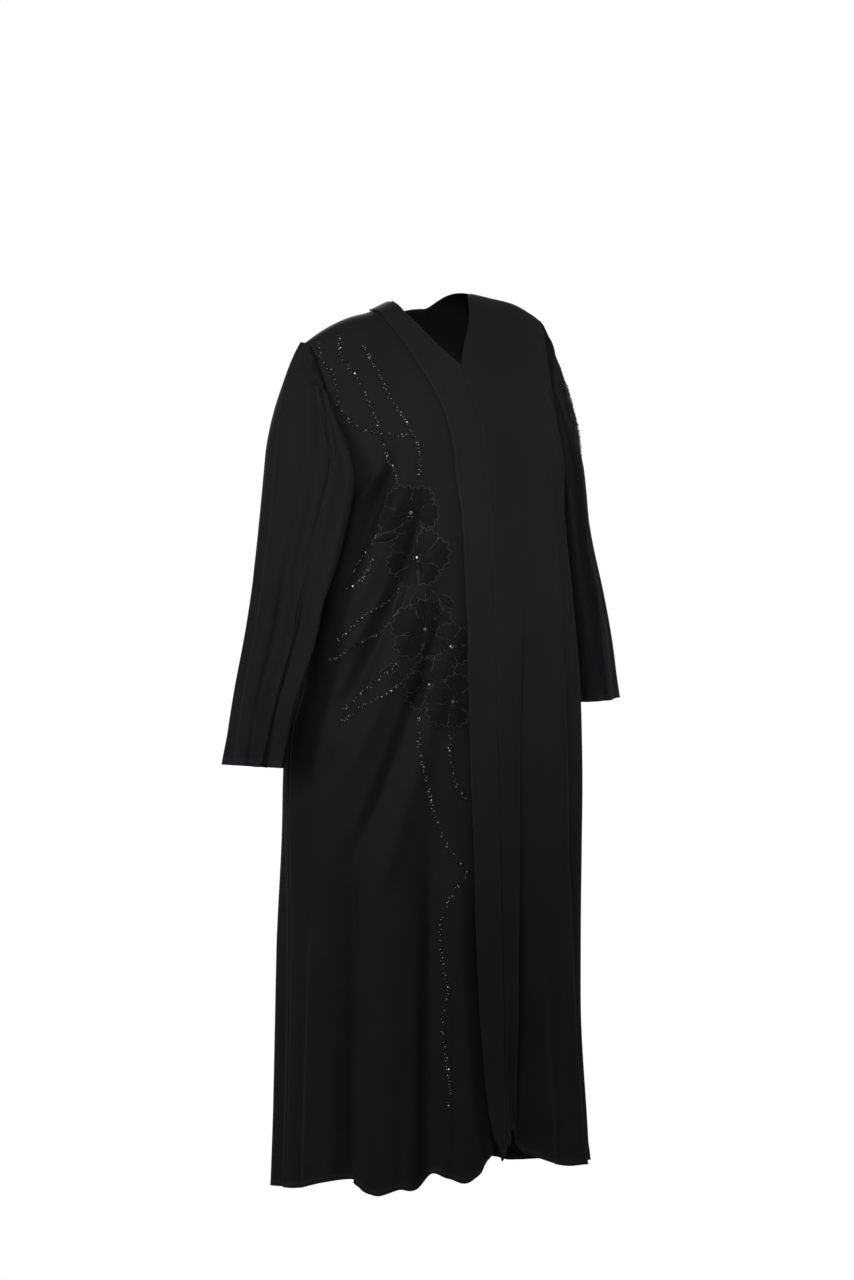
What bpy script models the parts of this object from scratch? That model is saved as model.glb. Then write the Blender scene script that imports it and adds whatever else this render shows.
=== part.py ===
"""Abaya cloak: an open-front cloak of black crepe with long set-in sleeves, hanging as it is worn.

Metres, +Z up. The front faces -Y and the wearer's left is +X. The origin lies between the two points
where the shoulders carry the cloak, so every height on the cloak is below it, or just above.

The body is one surface, read by two measures: the angle round the body (0 at the centre of the front,
+90 at the wearer's left side, 180 at the back) and the way down over the cloth from the shoulder ridge.
Each panel is a patch of that surface between its two long edges.
"""

import bpy
import numpy as np

# Driving sizes of the cloth and its seams.
WALL = 0.002
SEAM_GAP = 0.0003

# The shoulder ridge: its height across the body. The wearer's left shoulder sits higher. Lower down the
# cloth hangs level again.
RIDGE = {
    "x": (-0.260, -0.208, -0.193, -0.170, -0.135, -0.102, -0.060, 0.000, 0.060, 0.106, 0.154, 0.175,
          0.196, 0.213, 0.260),
    "z": (-0.100, -0.059, -0.048, -0.033, -0.016, -0.006, 0.014, 0.034, 0.034, 0.028, 0.019, 0.010,
          -0.001, -0.013, -0.060),
}
RIDGE_FADE = 0.35
SHOULDER_ROUND = 0.25
SHOULDER_ANGLE = 76.0

# The back of the neck: the middle and half width of its edge, as angles, and how far it dips.
BACK_NECK_MIDDLE = 178.0
BACK_NECK_HALF = 31.0
BACK_NECK_DROP = 0.022
BACK_NECK_STEEPNESS = 1.4

# Sections of the body, one row a height: the drop below the ridge, half the width, the depth in front
# and behind, the shift to the wearer's left, and how square the section is (2 is an ellipse).
BODY_SECTIONS = {
    "drop": (0.00, 0.10, 0.19, 0.31, 0.50, 0.70, 0.98, 1.10, 1.30, 1.42),
    "half_width": (0.214, 0.212, 0.209, 0.219, 0.234, 0.244, 0.239, 0.239, 0.247, 0.252),
    "front_depth": (0.120, 0.132, 0.156, 0.160, 0.167, 0.173, 0.187, 0.194, 0.206, 0.211),
    "back_depth": (0.120, 0.118, 0.118, 0.124, 0.148, 0.168, 0.185, 0.193, 0.206, 0.213),
    "shift": (-0.005, -0.002, 0.004, 0.010, 0.013, 0.010, 0.005, 0.004, 0.007, 0.007),
    "squareness": (2.5, 2.4, 2.3, 2.15, 2.05, 2.0, 2.0, 2.0, 2.0, 2.0),
}

# The hem: how far below the ridge it hangs, by angle. The front corners ride higher than the sides.
HEM = {
    "angle": (-180, -150, -120, -95, -80, -64, -56, -47, -38, -32, -26, -19, -12, -6, -1, 4, 8,
              12, 16, 21, 28, 36, 44, 54, 66, 80, 100, 120, 150, 180),
    "drop": (1.370, 1.366, 1.364, 1.352, 1.342, 1.324, 1.326, 1.340, 1.331, 1.333, 1.311, 1.317, 1.324,
             1.312, 1.292, 1.276, 1.280, 1.256, 1.260, 1.290, 1.305, 1.317, 1.325, 1.329, 1.332, 1.345,
             1.358, 1.368, 1.364, 1.370),
}

# Folds of the body, one row each: the angle and drop where it starts and ends, how far it bows round
# between them in degrees, how far it reaches along the cloth to the wearer's right and left of its
# line, and how far it stands out (a valley is negative).
FOLD_COLUMNS = (
    "start_angle", "start_drop", "end_angle", "end_drop", "bow", "reach_right", "reach_left", "height",
)
BODY_FOLDS = (
    # The sides, pressed in under the arms.
    (-92, 0.26, -94, 0.66, 0.0, 0.075, 0.075, -0.016),
    (92, 0.26, 95, 0.60, 0.0, 0.075, 0.075, -0.018),
    # Left front: a sharp valley beside the band, then pleats that fall from the bust to the hem, each
    # with a steep left side.
    (28, 0.34, 15, 1.45, 4.0, 0.013, 0.034, -0.020),
    (45, 0.20, 56, 1.45, 1.5, 0.032, 0.013, 0.010),
    (51, 0.26, 61, 1.45, 1.0, 0.013, 0.022, -0.013),
    (58, 0.14, 69, 1.45, 3.0, 0.022, 0.014, 0.010),
    (74, 0.34, 77, 1.45, 0.0, 0.014, 0.020, -0.010),
    (83, 0.62, 84, 1.45, 0.0, 0.022, 0.022, 0.003),
    # Between the band and the hem's high point, the cloth turns in.
    (12, 1.06, 14, 1.45, 0.0, 0.016, 0.016, -0.016),
    # Right front: valleys of the skirt, with soft ridges between them.
    (-28, 0.62, -30, 1.45, 1.5, 0.026, 0.022, -0.014),
    (-12, 0.70, -12, 1.45, 0.0, 0.024, 0.024, 0.008),
    (-42, 0.76, -43, 1.45, 0.0, 0.024, 0.028, 0.009),
    (-60, 0.72, -61, 1.45, 0.0, 0.030, 0.014, -0.014),
    (-72, 0.86, -75, 1.45, 0.0, 0.022, 0.022, 0.010),
    # Right front: drapes that fall from the bust to the hand side.
    (-32, 0.22, -66, 0.52, 0.0, 0.015, 0.013, 0.008),
    (-38, 0.20, -72, 0.46, 0.0, 0.013, 0.014, -0.008),
    (-28, 0.30, -70, 0.66, 0.0, 0.014, 0.015, -0.009),
    (-22, 0.34, -64, 0.76, 0.0, 0.018, 0.014, 0.009),
    (-18, 0.42, -62, 0.88, 0.0, 0.012, 0.018, -0.008),
    (-12, 0.46, -52, 0.96, 0.0, 0.020, 0.014, 0.008),
    # Back: soft pleats from the shoulder blades down.
    (124, 0.40, 118, 1.45, 0.0, 0.026, 0.020, -0.014),
    (138, 0.55, 134, 1.45, 0.0, 0.022, 0.026, 0.012),
    (151, 0.34, 150, 1.45, 0.0, 0.018, 0.026, -0.015),
    (166, 0.50, 165, 1.45, 0.0, 0.028, 0.020, 0.013),
    (180, 0.32, 181, 1.45, 0.0, 0.020, 0.026, -0.015),
    (194, 0.55, 197, 1.45, 0.0, 0.024, 0.027, 0.012),
    (208, 0.36, 212, 1.45, 0.0, 0.026, 0.018, -0.015),
    (222, 0.60, 228, 1.45, 0.0, 0.022, 0.026, 0.012),
    (237, 0.46, 243, 1.45, 0.0, 0.026, 0.020, -0.012),
    (108, 0.70, 104, 1.45, 0.0, 0.022, 0.022, 0.010),
    (252, 0.75, 257, 1.45, 0.0, 0.022, 0.022, 0.009),
)

# The armhole, the same shape on both sides: rows from the underarm up to the shoulder point, with the
# angle in front and how far round to the back the same row lies.
ARMHOLE = {
    "drop": (0.300, 0.285, 0.255, 0.218, 0.178, 0.138, 0.098, 0.060, 0.026, 0.006, 0.000),
    "front_angle": (90.0, 83.5, 77.5, 73.5, 71.5, 71.0, 71.6, 72.8, 74.4, 75.2, SHOULDER_ANGLE),
    "back_angle": (90.0, 96.5, 101.5, 104.5, 106.0, 106.4, 106.2, 105.6, 104.8, 104.4,
                   180.0 - SHOULDER_ANGLE),
}
BODICE_ROWS = len(ARMHOLE["drop"]) - 1
SKIRT_ROWS = 18

# Columns of cells across each panel.
BACK_COLUMNS = 40
RIGHT_COLUMNS = 25
LEFT_COLUMNS = 21
BAND_COLUMNS = 4

# Front edges, level with the armhole's rows: where each edge lies left or right of the centre, and
# its drop. The upper rows run along the neckline, from its point to the shoulder.
BAND_SEAM = {
    "x": (0.0262, 0.0235, 0.0195, 0.0160, 0.0110, 0.0040, 0.0000, 0.0120, 0.0340, 0.0540, 0.0720),
    "drop": (0.335, 0.305, 0.270, 0.235, 0.195, 0.150, 0.120, 0.092, 0.052, 0.012, 0.000),
}
UNDER_EDGE = {
    "x": (0.012, 0.012, 0.012, 0.011, 0.008, 0.000, -0.018, -0.042, -0.064, -0.0715, -0.078),
    "drop": (0.335, 0.305, 0.270, 0.235, 0.200, 0.158, 0.118, 0.078, 0.036, 0.009, 0.000),
}

# The band: its rows from the hem up, with the sewn edge (the seam, then the neckline) and the free
# edge. The lift is how far each edge stands off the right front.
BAND_TOP = {
    "seam_x": (0.0262, 0.0235, 0.0195, 0.0160, 0.0110, 0.0040, 0.0000, -0.0180, -0.0400, -0.0590,
               -0.0645, -0.0690),
    "seam_drop": (0.335, 0.305, 0.270, 0.235, 0.195, 0.150, 0.120, 0.099, 0.068, 0.030, 0.007, 0.000),
    "edge_x": (-0.0230, -0.0260, -0.0300, -0.0330, -0.0385, -0.0470, -0.0560, -0.0670, -0.0790, -0.0920,
               -0.0960, -0.0990),
    "edge_drop": (0.335, 0.305, 0.270, 0.240, 0.208, 0.170, 0.137, 0.104, 0.068, 0.030, 0.007, 0.000),
}
SEAM_BELOW = {
    "drop": (0.335, 0.46, 0.65, 0.82, 1.00, 1.21, 1.32),
    "x": (0.0262, 0.0290, 0.0325, 0.0343, 0.0344, 0.0340, 0.0345),
}
EDGE_BELOW = {
    "drop": (0.335, 0.47, 0.64, 0.78, 0.97, 1.10, 1.17, 1.225, 1.26, 1.30),
    "x": (-0.0230, -0.0190, -0.0165, -0.0150, -0.0175, -0.0128, -0.0076, -0.0020, 0.0060, 0.0210),
}
BAND_CORNER_DROP = 1.297
BAND_SEAM_HEM_DROP = 1.268
UNDER_EDGE_HEM_DROP = 1.285
BAND_LIFT = 0.0036
BAND_OPEN_LIFT = 0.0090
BAND_OPENS_AT = 0.27
BAND_OPENS_OVER = 0.12
LIFT_AT_RIDGE = 0.75
LIFT_GROWS_OVER = 0.06
LEFT_LIFT_STARTS = 8.0
LEFT_LIFT_FADES_OVER = 44.0

# Sleeves, one row a section from the armhole to the cuff: its outermost, innermost, front and back
# points. The first row is near the armhole, whose own shape the sleeve leaves step by step.
SLEEVE_COLUMNS = (
    "outer_x", "outer_z", "inner_x", "inner_z", "front_x", "front_y", "back_x", "back_y",
)
SLEEVE_RIGHT = (
    (-0.229, -0.088, -0.216, -0.318, -0.210, -0.088, -0.222, 0.080),
    (-0.245, -0.130, -0.217, -0.340, -0.198, -0.108, -0.230, 0.086),
    (-0.250, -0.200, -0.218, -0.366, -0.187, -0.119, -0.236, 0.086),
    (-0.260, -0.300, -0.221, -0.414, -0.200, -0.106, -0.246, 0.078),
    (-0.273, -0.400, -0.229, -0.476, -0.220, -0.095, -0.258, 0.070),
    (-0.289, -0.500, -0.240, -0.545, -0.238, -0.090, -0.272, 0.064),
    (-0.309, -0.600, -0.252, -0.622, -0.264, -0.076, -0.288, 0.062),
    (-0.324, -0.704, -0.261, -0.708, -0.280, -0.062, -0.304, 0.062),
)
SLEEVE_LEFT = (
    (0.219, -0.040, 0.216, -0.305, 0.214, -0.084, 0.214, 0.080),
    (0.231, -0.088, 0.218, -0.322, 0.219, -0.082, 0.226, 0.086),
    (0.2400, -0.160, 0.220, -0.346, 0.226, -0.086, 0.233, 0.088),
    (0.2505, -0.250, 0.226, -0.386, 0.232, -0.090, 0.243, 0.084),
    (0.266, -0.340, 0.235, -0.434, 0.240, -0.097, 0.257, 0.078),
    (0.288, -0.430, 0.243, -0.486, 0.252, -0.104, 0.273, 0.072),
    (0.311, -0.515, 0.250, -0.546, 0.263, -0.102, 0.288, 0.066),
    (0.326, -0.604, 0.256, -0.614, 0.274, -0.098, 0.298, 0.060),
)
SLEEVE_RINGS = 16
SLEEVE_SIDES_PER_ROW = 2
ARMHOLE_BLEND = 0.30
BODY_CLEARANCE = 0.004
CLEAR_BELOW = 0.012
CLEAR_GROWS_OVER = 0.060

# Gathers round the sleeve head, and the long folds that they fall into: the angle round the sleeve (0
# on the shoulder, 90 in front, 180 under the arm), where along the sleeve each starts and ends (0 to
# 1), its reach in degrees, and its height.
HEAD_GATHERS = 9
HEAD_GATHER_HEIGHT = 0.0028
HEAD_GATHER_REACH = 0.16
SLEEVE_FOLD_COLUMNS = ("start_angle", "start_along", "end_angle", "end_along", "reach", "height")
SLEEVE_FOLDS = (
    (22, 0.04, 30, 1.30, 9, -0.009),
    (42, 0.04, 50, 1.30, 11, 0.007),
    (62, 0.06, 72, 1.30, 9, -0.009),
    (88, 0.16, 96, 1.30, 12, 0.007),
    (112, 0.06, 122, 0.90, 11, -0.008),
    (-22, 0.06, -30, 1.30, 12, 0.006),
    (-48, 0.06, -56, 1.30, 10, -0.008),
    (-84, 0.20, -90, 1.30, 13, 0.006),
)

CLOTH_COLOUR = (0.0105, 0.0105, 0.0120, 1.0)
BAND_COLOUR = (0.0115, 0.0115, 0.0130, 1.0)
CLOTH_ROUGHNESS = 0.78


def curve(xs, ys, at):
    """A smooth curve through the rows of a table, read at any place."""
    xs, ys, at = np.asarray(xs, float), np.asarray(ys, float), np.asarray(at, float)
    slope = np.gradient(ys, xs)
    here = np.clip(np.searchsorted(xs, at) - 1, 0, len(xs) - 2)
    step = xs[here + 1] - xs[here]
    t = np.clip((at - xs[here]) / step, 0.0, 1.0)
    return (
        ys[here] * (1 + 2 * t) * (1 - t) ** 2
        + ys[here + 1] * t * t * (3 - 2 * t)
        + slope[here] * step * t * (1 - t) ** 2
        - slope[here + 1] * step * t * t * (1 - t)
    )


def smooth(t):
    t = np.clip(t, 0.0, 1.0)
    return t * t * (3 - 2 * t)


def unit(vectors):
    return vectors / np.linalg.norm(vectors, axis=-1, keepdims=True)


def drop_to_down(drop):
    """The way down over the cloth, which starts level at the shoulder ridge, for a drop below it."""
    drop = np.asarray(drop, float)
    rounded = SHOULDER_ROUND * np.arccos(1 - np.clip(drop / SHOULDER_ROUND, 0, 1))
    return rounded + np.maximum(drop - SHOULDER_ROUND, 0)


def down_to_drop(down):
    """The drop below the ridge, and how far the cloth has reached its full depth (0 to 1)."""
    quarter = SHOULDER_ROUND * np.pi / 2
    turn = np.minimum(down, quarter) / SHOULDER_ROUND
    drop = SHOULDER_ROUND * (1 - np.cos(turn)) + np.maximum(down - quarter, 0)
    return drop, np.sin(turn)


def ridge_height(x):
    return curve(RIDGE["x"], RIDGE["z"], x)


def section(column, drop):
    return curve(BODY_SECTIONS["drop"], BODY_SECTIONS[column], drop)


def fold_relief(angle, drop, radius):
    """How far the folds move the cloth out at each place."""
    total = np.zeros_like(radius)
    for row in BODY_FOLDS:
        fold = dict(zip(FOLD_COLUMNS, row))
        span = fold["end_drop"] - fold["start_drop"]
        along = (drop - fold["start_drop"]) / span
        middle = fold["start_angle"] + (fold["end_angle"] - fold["start_angle"]) * along
        middle = middle + fold["bow"] * 4 * along * (1 - along)
        away = (angle - middle + 180.0) % 360.0 - 180.0
        sideways = np.radians(away) * radius / np.where(away < 0, fold["reach_right"], fold["reach_left"])
        ends = smooth(along / 0.35) * smooth((1 - along) / 0.25 if fold["end_drop"] < 1.4 else 1.0)
        total += fold["height"] * ends * np.exp(-sideways * sideways)
    return total


def body_radius(angle, drop):
    """The distance from the body's axis to the cloth, before the folds."""
    turn = np.radians(angle)
    power = section("squareness", drop)
    depth = np.where(np.cos(turn) >= 0, section("front_depth", drop), section("back_depth", drop))
    across = (np.abs(np.sin(turn)) / section("half_width", drop)) ** power
    return (across + (np.abs(np.cos(turn)) / depth) ** power) ** (-1 / power)


def body_point(angle, down):
    """Points of the body's outer face, by the angle round it and the way down over the cloth."""
    angle, down = np.broadcast_arrays(np.asarray(angle, float), np.asarray(down, float))
    drop, reached = down_to_drop(down)
    radius = body_radius(angle, drop)
    radius = radius + fold_relief(angle, drop, radius)
    turn = np.radians(angle)
    x = section("shift", drop) + radius * np.sin(turn)
    y = -radius * np.cos(turn) * reached
    z = ridge_height(x) * np.exp(-drop / RIDGE_FADE) - drop
    return np.stack([x, y, z], axis=-1)


def body_normal(angle, down):
    """The direction that the body's outer face looks in."""
    around = body_point(angle + 0.05, down) - body_point(angle - 0.05, down)
    over = body_point(angle, down + 1e-4) - body_point(angle, down - 1e-4)
    return unit(np.cross(over, around))


def angle_at(x, drop):
    """The angle of the place on the front that lies x left or right of the centre."""
    x, drop = np.asarray(x, float), np.asarray(drop, float)
    angle = np.degrees(np.arcsin(np.clip((x - section("shift", drop)) / 0.17, -0.95, 0.95)))
    for _ in range(30):
        radius = body_radius(angle, drop)
        radius = radius + fold_relief(angle, drop, radius)
        angle = np.degrees(np.arcsin(np.clip((x - section("shift", drop)) / radius, -0.95, 0.95)))
    return angle


def hem_drop(angle):
    return curve(HEM["angle"], HEM["drop"], (np.asarray(angle, float) + 180.0) % 360.0 - 180.0)


def skirt_drops(hem, top):
    """Drops of the skirt's rows from the hem up to where the bodice starts."""
    share = np.linspace(0, 1, SKIRT_ROWS + 1)
    return hem + (top - hem) * share


def patch(first_angle, first_drop, last_angle, last_drop, columns, first_hem=None):
    """Angles and ways down over a panel between its two long edges, one row for each pair of ends.

    Each edge lists its rows from the hem up. The skirt's rows follow the hem at every column.
    """
    across = np.linspace(0, 1, columns + 1)[None, :]
    angle = first_angle[:, None] * (1 - across) + last_angle[:, None] * across
    down = drop_to_down(first_drop)[:, None] * (1 - across) + drop_to_down(last_drop)[:, None] * across
    hem = drop_to_down(hem_drop(angle[0]))
    if first_hem is not None:
        hem = drop_to_down(first_hem) * (1 - across[0]) + hem[-1] * across[0]
    share = np.linspace(0, 1, SKIRT_ROWS + 1)[:SKIRT_ROWS, None]
    down[:SKIRT_ROWS] = hem + (down[SKIRT_ROWS] - hem) * share
    return angle, down


def pull_back(points, edge, neighbour):
    """Moves one edge of a grid of points in by half the seam's gap."""
    points[edge] += unit(points[neighbour] - points[edge]) * SEAM_GAP / 2


def side_rows(side, face):
    """Angle and drop of the side seam and the armhole, rows from the hem up."""
    angles = np.array(ARMHOLE[face])
    drops = np.array(ARMHOLE["drop"])
    angle = np.concatenate([np.full(SKIRT_ROWS, 90.0), angles])
    drop = np.concatenate([skirt_drops(hem_drop(90.0 * side), drops[0])[:-1], drops])
    return angle * side, drop


def front_rows(top, below, hem):
    """Angle and drop of a front edge, rows from the hem up."""
    top_drop = np.array(top["drop"])
    low = skirt_drops(hem, top_drop[0])[:-1]
    low_x = curve(below["drop"], below["x"], low) if below else np.full(SKIRT_ROWS, top["x"][0])
    drop = np.concatenate([low, top_drop])
    return angle_at(np.concatenate([low_x, top["x"]]), drop), drop


def link_wall(name, outer, inner, closed, colour):
    """Makes a closed wall between two grids of points; a closed one joins its last column to its first."""
    rows, columns = outer.shape[:2]
    front = np.arange(rows * columns).reshape(rows, columns)
    rear = front + rows * columns
    wrap = columns if closed else columns - 1
    faces = []
    for row in range(rows - 1):
        for column in range(wrap):
            after = (column + 1) % columns
            corners = [(row, column), (row, after), (row + 1, after), (row + 1, column)]
            faces.append([int(front[corner]) for corner in corners])
            faces.append([int(rear[corner]) for corner in reversed(corners)])
    rims = [(front[0], rear[0]), (rear[-1], front[-1])]
    if not closed:
        rims += [(rear[:, 0], front[:, 0]), (front[:, -1], rear[:, -1])]
    for near, far in rims:
        for at in range(len(near) if closed else len(near) - 1):
            after = (at + 1) % len(near)
            faces.append([int(near[after]), int(near[at]), int(far[at]), int(far[after])])
    mesh = bpy.data.meshes.new(name)
    points = np.concatenate([outer.reshape(-1, 3), inner.reshape(-1, 3)])
    mesh.from_pydata(points.tolist(), [], faces)
    mesh.validate()
    mesh.shade_smooth()
    mesh.set_sharp_from_angle(angle=np.radians(50))
    material = bpy.data.materials.new(name)
    material.use_nodes = True
    shader = material.node_tree.nodes["Principled BSDF"]
    shader.inputs["Base Color"].default_value = colour
    shader.inputs["Roughness"].default_value = CLOTH_ROUGHNESS
    shader.inputs["Metallic"].default_value = 0.0
    mesh.materials.append(material)
    piece = bpy.data.objects.new(name, mesh)
    bpy.data.collections["abaya_cloak"].objects.link(piece)
    return piece


def make_front_right():
    edge_angle, edge_drop = front_rows(UNDER_EDGE, None, UNDER_EDGE_HEM_DROP)
    side_angle, side_drop = side_rows(-1, "front_angle")
    angle, down = patch(side_angle, side_drop, edge_angle, edge_drop, RIGHT_COLUMNS)
    points, normals = body_point(angle, down), body_normal(angle, down)
    pull_back(points, np.s_[:, 0], np.s_[:, 1])
    pull_back(points, np.s_[-1], np.s_[-2])
    link_wall("front_right", points, points - WALL * normals, False, CLOTH_COLOUR)


def left_lift(angle, down):
    """How far the left front stands off the base surface: the band's lift at the seam, none at the side."""
    drop, _ = down_to_drop(down)
    away = smooth(1 - (angle - LEFT_LIFT_STARTS) / LEFT_LIFT_FADES_OVER)
    return BAND_LIFT * away * smooth(drop / LIFT_GROWS_OVER)


def make_front_left():
    edge_angle, edge_drop = front_rows(BAND_SEAM, SEAM_BELOW, BAND_SEAM_HEM_DROP)
    side_angle, side_drop = side_rows(1, "front_angle")
    angle, down = patch(edge_angle, edge_drop, side_angle, side_drop, LEFT_COLUMNS)
    normals = body_normal(angle, down)
    points = body_point(angle, down) + left_lift(angle, down)[..., None] * normals
    pull_back(points, np.s_[:, 0], np.s_[:, 1])
    pull_back(points, np.s_[:, -1], np.s_[:, -2])
    pull_back(points, np.s_[-1], np.s_[-2])
    link_wall("front_left", points, points - WALL * normals, False, CLOTH_COLOUR)


def make_front_band():
    """The strip from the right shoulder round the neckline's point and down the closure."""
    top_seam = {"x": BAND_TOP["seam_x"], "drop": BAND_TOP["seam_drop"]}
    top_edge = {"x": BAND_TOP["edge_x"], "drop": BAND_TOP["edge_drop"]}
    seam_angle, seam_drop = front_rows(top_seam, SEAM_BELOW, BAND_SEAM_HEM_DROP)
    edge_angle, edge_drop = front_rows(top_edge, EDGE_BELOW, BAND_CORNER_DROP)
    angle, down = patch(
        edge_angle, edge_drop, seam_angle, seam_drop, BAND_COLUMNS, BAND_CORNER_DROP
    )
    normals = body_normal(angle, down)
    drop, _ = down_to_drop(down)
    to_edge = np.linspace(1, 0, BAND_COLUMNS + 1)[None, :]
    opening = smooth((drop - BAND_OPENS_AT) / BAND_OPENS_OVER) * BAND_OPEN_LIFT * to_edge
    lift = BAND_LIFT * smooth(drop / LIFT_GROWS_OVER + LIFT_AT_RIDGE) + opening
    lift[:, -1] = left_lift(angle, down)[:, -1]
    points = body_point(angle, down) + lift[..., None] * normals
    pull_back(points, np.s_[:, -1], np.s_[:, -2])
    pull_back(points, np.s_[-1], np.s_[-2])
    link_wall("front_band", points, points - WALL * normals, False, BAND_COLOUR)


def make_back():
    left_angle, left_drop = side_rows(1, "back_angle")
    right_angle, right_drop = side_rows(-1, "back_angle")
    angle, down = patch(left_angle, left_drop, right_angle + 360.0, right_drop, BACK_COLUMNS)
    inside_neck = 1 - np.abs(angle[-1] - BACK_NECK_MIDDLE) / BACK_NECK_HALF
    dip = drop_to_down(BACK_NECK_DROP) * smooth(inside_neck * BACK_NECK_STEEPNESS)
    share = np.linspace(0, 1, BODICE_ROWS + 1)[:, None]
    down[SKIRT_ROWS:] += dip[None, :] * share
    points, normals = body_point(angle, down), body_normal(angle, down)
    pull_back(points, np.s_[:, 0], np.s_[:, 1])
    pull_back(points, np.s_[:, -1], np.s_[:, -2])
    pull_back(points, np.s_[-1], np.s_[-2])
    link_wall("back", points, points - WALL * normals, False, CLOTH_COLOUR)


def armhole_loop(side):
    """Points and normals round the armhole from the shoulder, down the front, and up the back."""
    front_angle, front_drop = side_rows(side, "front_angle")
    back_angle, back_drop = side_rows(side, "back_angle")
    front = slice(SKIRT_ROWS, None)
    angle = np.concatenate([front_angle[front][::-1], back_angle[front][1:-1]])
    down = drop_to_down(np.concatenate([front_drop[front][::-1], back_drop[front][1:-1]]))
    points, normals = body_point(angle, down), body_normal(angle, down)
    if side > 0:
        points = points + left_lift(angle, down)[:, None] * normals
    along = np.roll(points, -1, axis=0) - np.roll(points, 1, axis=0)
    outward = unit(np.cross(unit(along), normals)) * -side
    return points + outward * SEAM_GAP, normals


def between_rows(values):
    """Adds the halfway values between the rows of a closed loop."""
    halfway = (values + np.roll(values, -1, axis=0)) / 2
    return np.stack([values, halfway], axis=1).reshape(-1, values.shape[-1])


def clear_of_body(points, clearance):
    """Moves points out to where they clear the body's outer face."""
    drop = -points[..., 2] + ridge_height(points[..., 0]) * np.exp(points[..., 2] / RIDGE_FADE)
    shift = section("shift", drop)
    angle = np.degrees(np.arctan2(points[..., 0] - shift, -points[..., 1]))
    _, reached = down_to_drop(drop_to_down(np.maximum(drop, 0)))
    radius = body_radius(angle, drop)
    radius = radius + fold_relief(angle, drop, radius) + clearance
    turn = np.radians(angle)
    body_r = np.hypot(radius * np.sin(turn), radius * np.cos(turn) * reached)
    own_r = np.hypot(points[..., 0] - shift, points[..., 1])
    below_shoulder = smooth((drop - CLEAR_BELOW) / CLEAR_GROWS_OVER)
    scale = 1.0 + (np.maximum(1.0, body_r / own_r) - 1.0) * below_shoulder
    moved = points.copy()
    moved[..., 0] = shift + (points[..., 0] - shift) * scale
    moved[..., 1] = points[..., 1] * scale
    return moved


def sleeve_relief(around, along):
    """How far the gathers and folds of a sleeve stand out."""
    over_top = smooth((np.cos(np.radians(around)) + 0.55) / 0.8)
    head = smooth(along / 0.05) * smooth((HEAD_GATHER_REACH - along) / HEAD_GATHER_REACH)
    total = HEAD_GATHER_HEIGHT * over_top * head * np.cos(np.radians(around) * HEAD_GATHERS)
    for row in SLEEVE_FOLDS:
        fold = dict(zip(SLEEVE_FOLD_COLUMNS, row))
        share = (along - fold["start_along"]) / (fold["end_along"] - fold["start_along"])
        middle = fold["start_angle"] + (fold["end_angle"] - fold["start_angle"]) * share
        away = ((around - middle + 180.0) % 360.0 - 180.0) / fold["reach"]
        ends = smooth(share / 0.2) * smooth((1 - share) / 0.25)
        total = total + fold["height"] * ends * np.exp(-away * away)
    return total


def make_sleeve(name, side, table):
    head, head_normals = armhole_loop(side)
    head, head_normals = between_rows(head), unit(between_rows(head_normals))
    count = len(head)
    around = np.arange(count) * 360.0 / count
    turn = np.radians(around)
    columns = {key: [row[at] for row in table] for at, key in enumerate(SLEEVE_COLUMNS)}
    places = np.linspace(0, 1, len(table))
    rings = [head]
    for along in np.linspace(0, 1, SLEEVE_RINGS + 1)[1:] ** 1.25:
        row = {key: float(curve(places, values, along)) for key, values in columns.items()}
        middle_x = (row["outer_x"] + row["inner_x"]) / 2
        x = middle_x + (row["outer_x"] - middle_x) * np.cos(turn)
        x = x + (row["front_x"] - middle_x) * np.maximum(np.sin(turn), 0)
        x = x + (row["back_x"] - middle_x) * np.maximum(-np.sin(turn), 0)
        y = np.where(np.sin(turn) > 0, row["front_y"], -row["back_y"]) * np.sin(turn)
        z = (row["outer_z"] + row["inner_z"]) / 2 + (row["outer_z"] - row["inner_z"]) / 2 * np.cos(turn)
        ring = np.stack([x, y, z], axis=-1)
        blend = smooth(along / ARMHOLE_BLEND)
        ring = head * (1 - blend) + ring * blend
        outward = ring - ring.mean(axis=0)
        ring = ring + unit(outward) * sleeve_relief(around, np.full(count, along))[:, None]
        rings.append(clear_of_body(ring, BODY_CLEARANCE * smooth(along / 0.12)))
    points = np.stack(rings)
    if side > 0:
        points, head_normals = points[:, ::-1], head_normals[::-1]
    down = np.gradient(points, axis=0)
    round_it = np.roll(points, -1, axis=1) - np.roll(points, 1, axis=1)
    normals = unit(np.cross(down, round_it))
    normals[0] = head_normals
    link_wall(name, points[::-1], (points - WALL * normals)[::-1], True, CLOTH_COLOUR)


def main():
    for leftover in list(bpy.data.objects):
        bpy.data.objects.remove(leftover, do_unlink=True)
    bpy.context.scene.collection.children.link(bpy.data.collections.new("abaya_cloak"))
    make_back()
    make_front_right()
    make_front_left()
    make_front_band()
    make_sleeve("sleeve_right", -1, SLEEVE_RIGHT)
    make_sleeve("sleeve_left", 1, SLEEVE_LEFT)


main()
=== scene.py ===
"""Abaya cloak of black crepe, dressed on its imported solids.

Metres, +Z up. The front faces -Y and the wearer's left is +X. The cloth is read by two measures: the angle
round the body (0 at the centre of the front, +90 at the wearer's left, 180 at the back) and the way down
over the cloth from the shoulder ridge. The panels, sleeves and embroidery are all worked out from those.
"""

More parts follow.
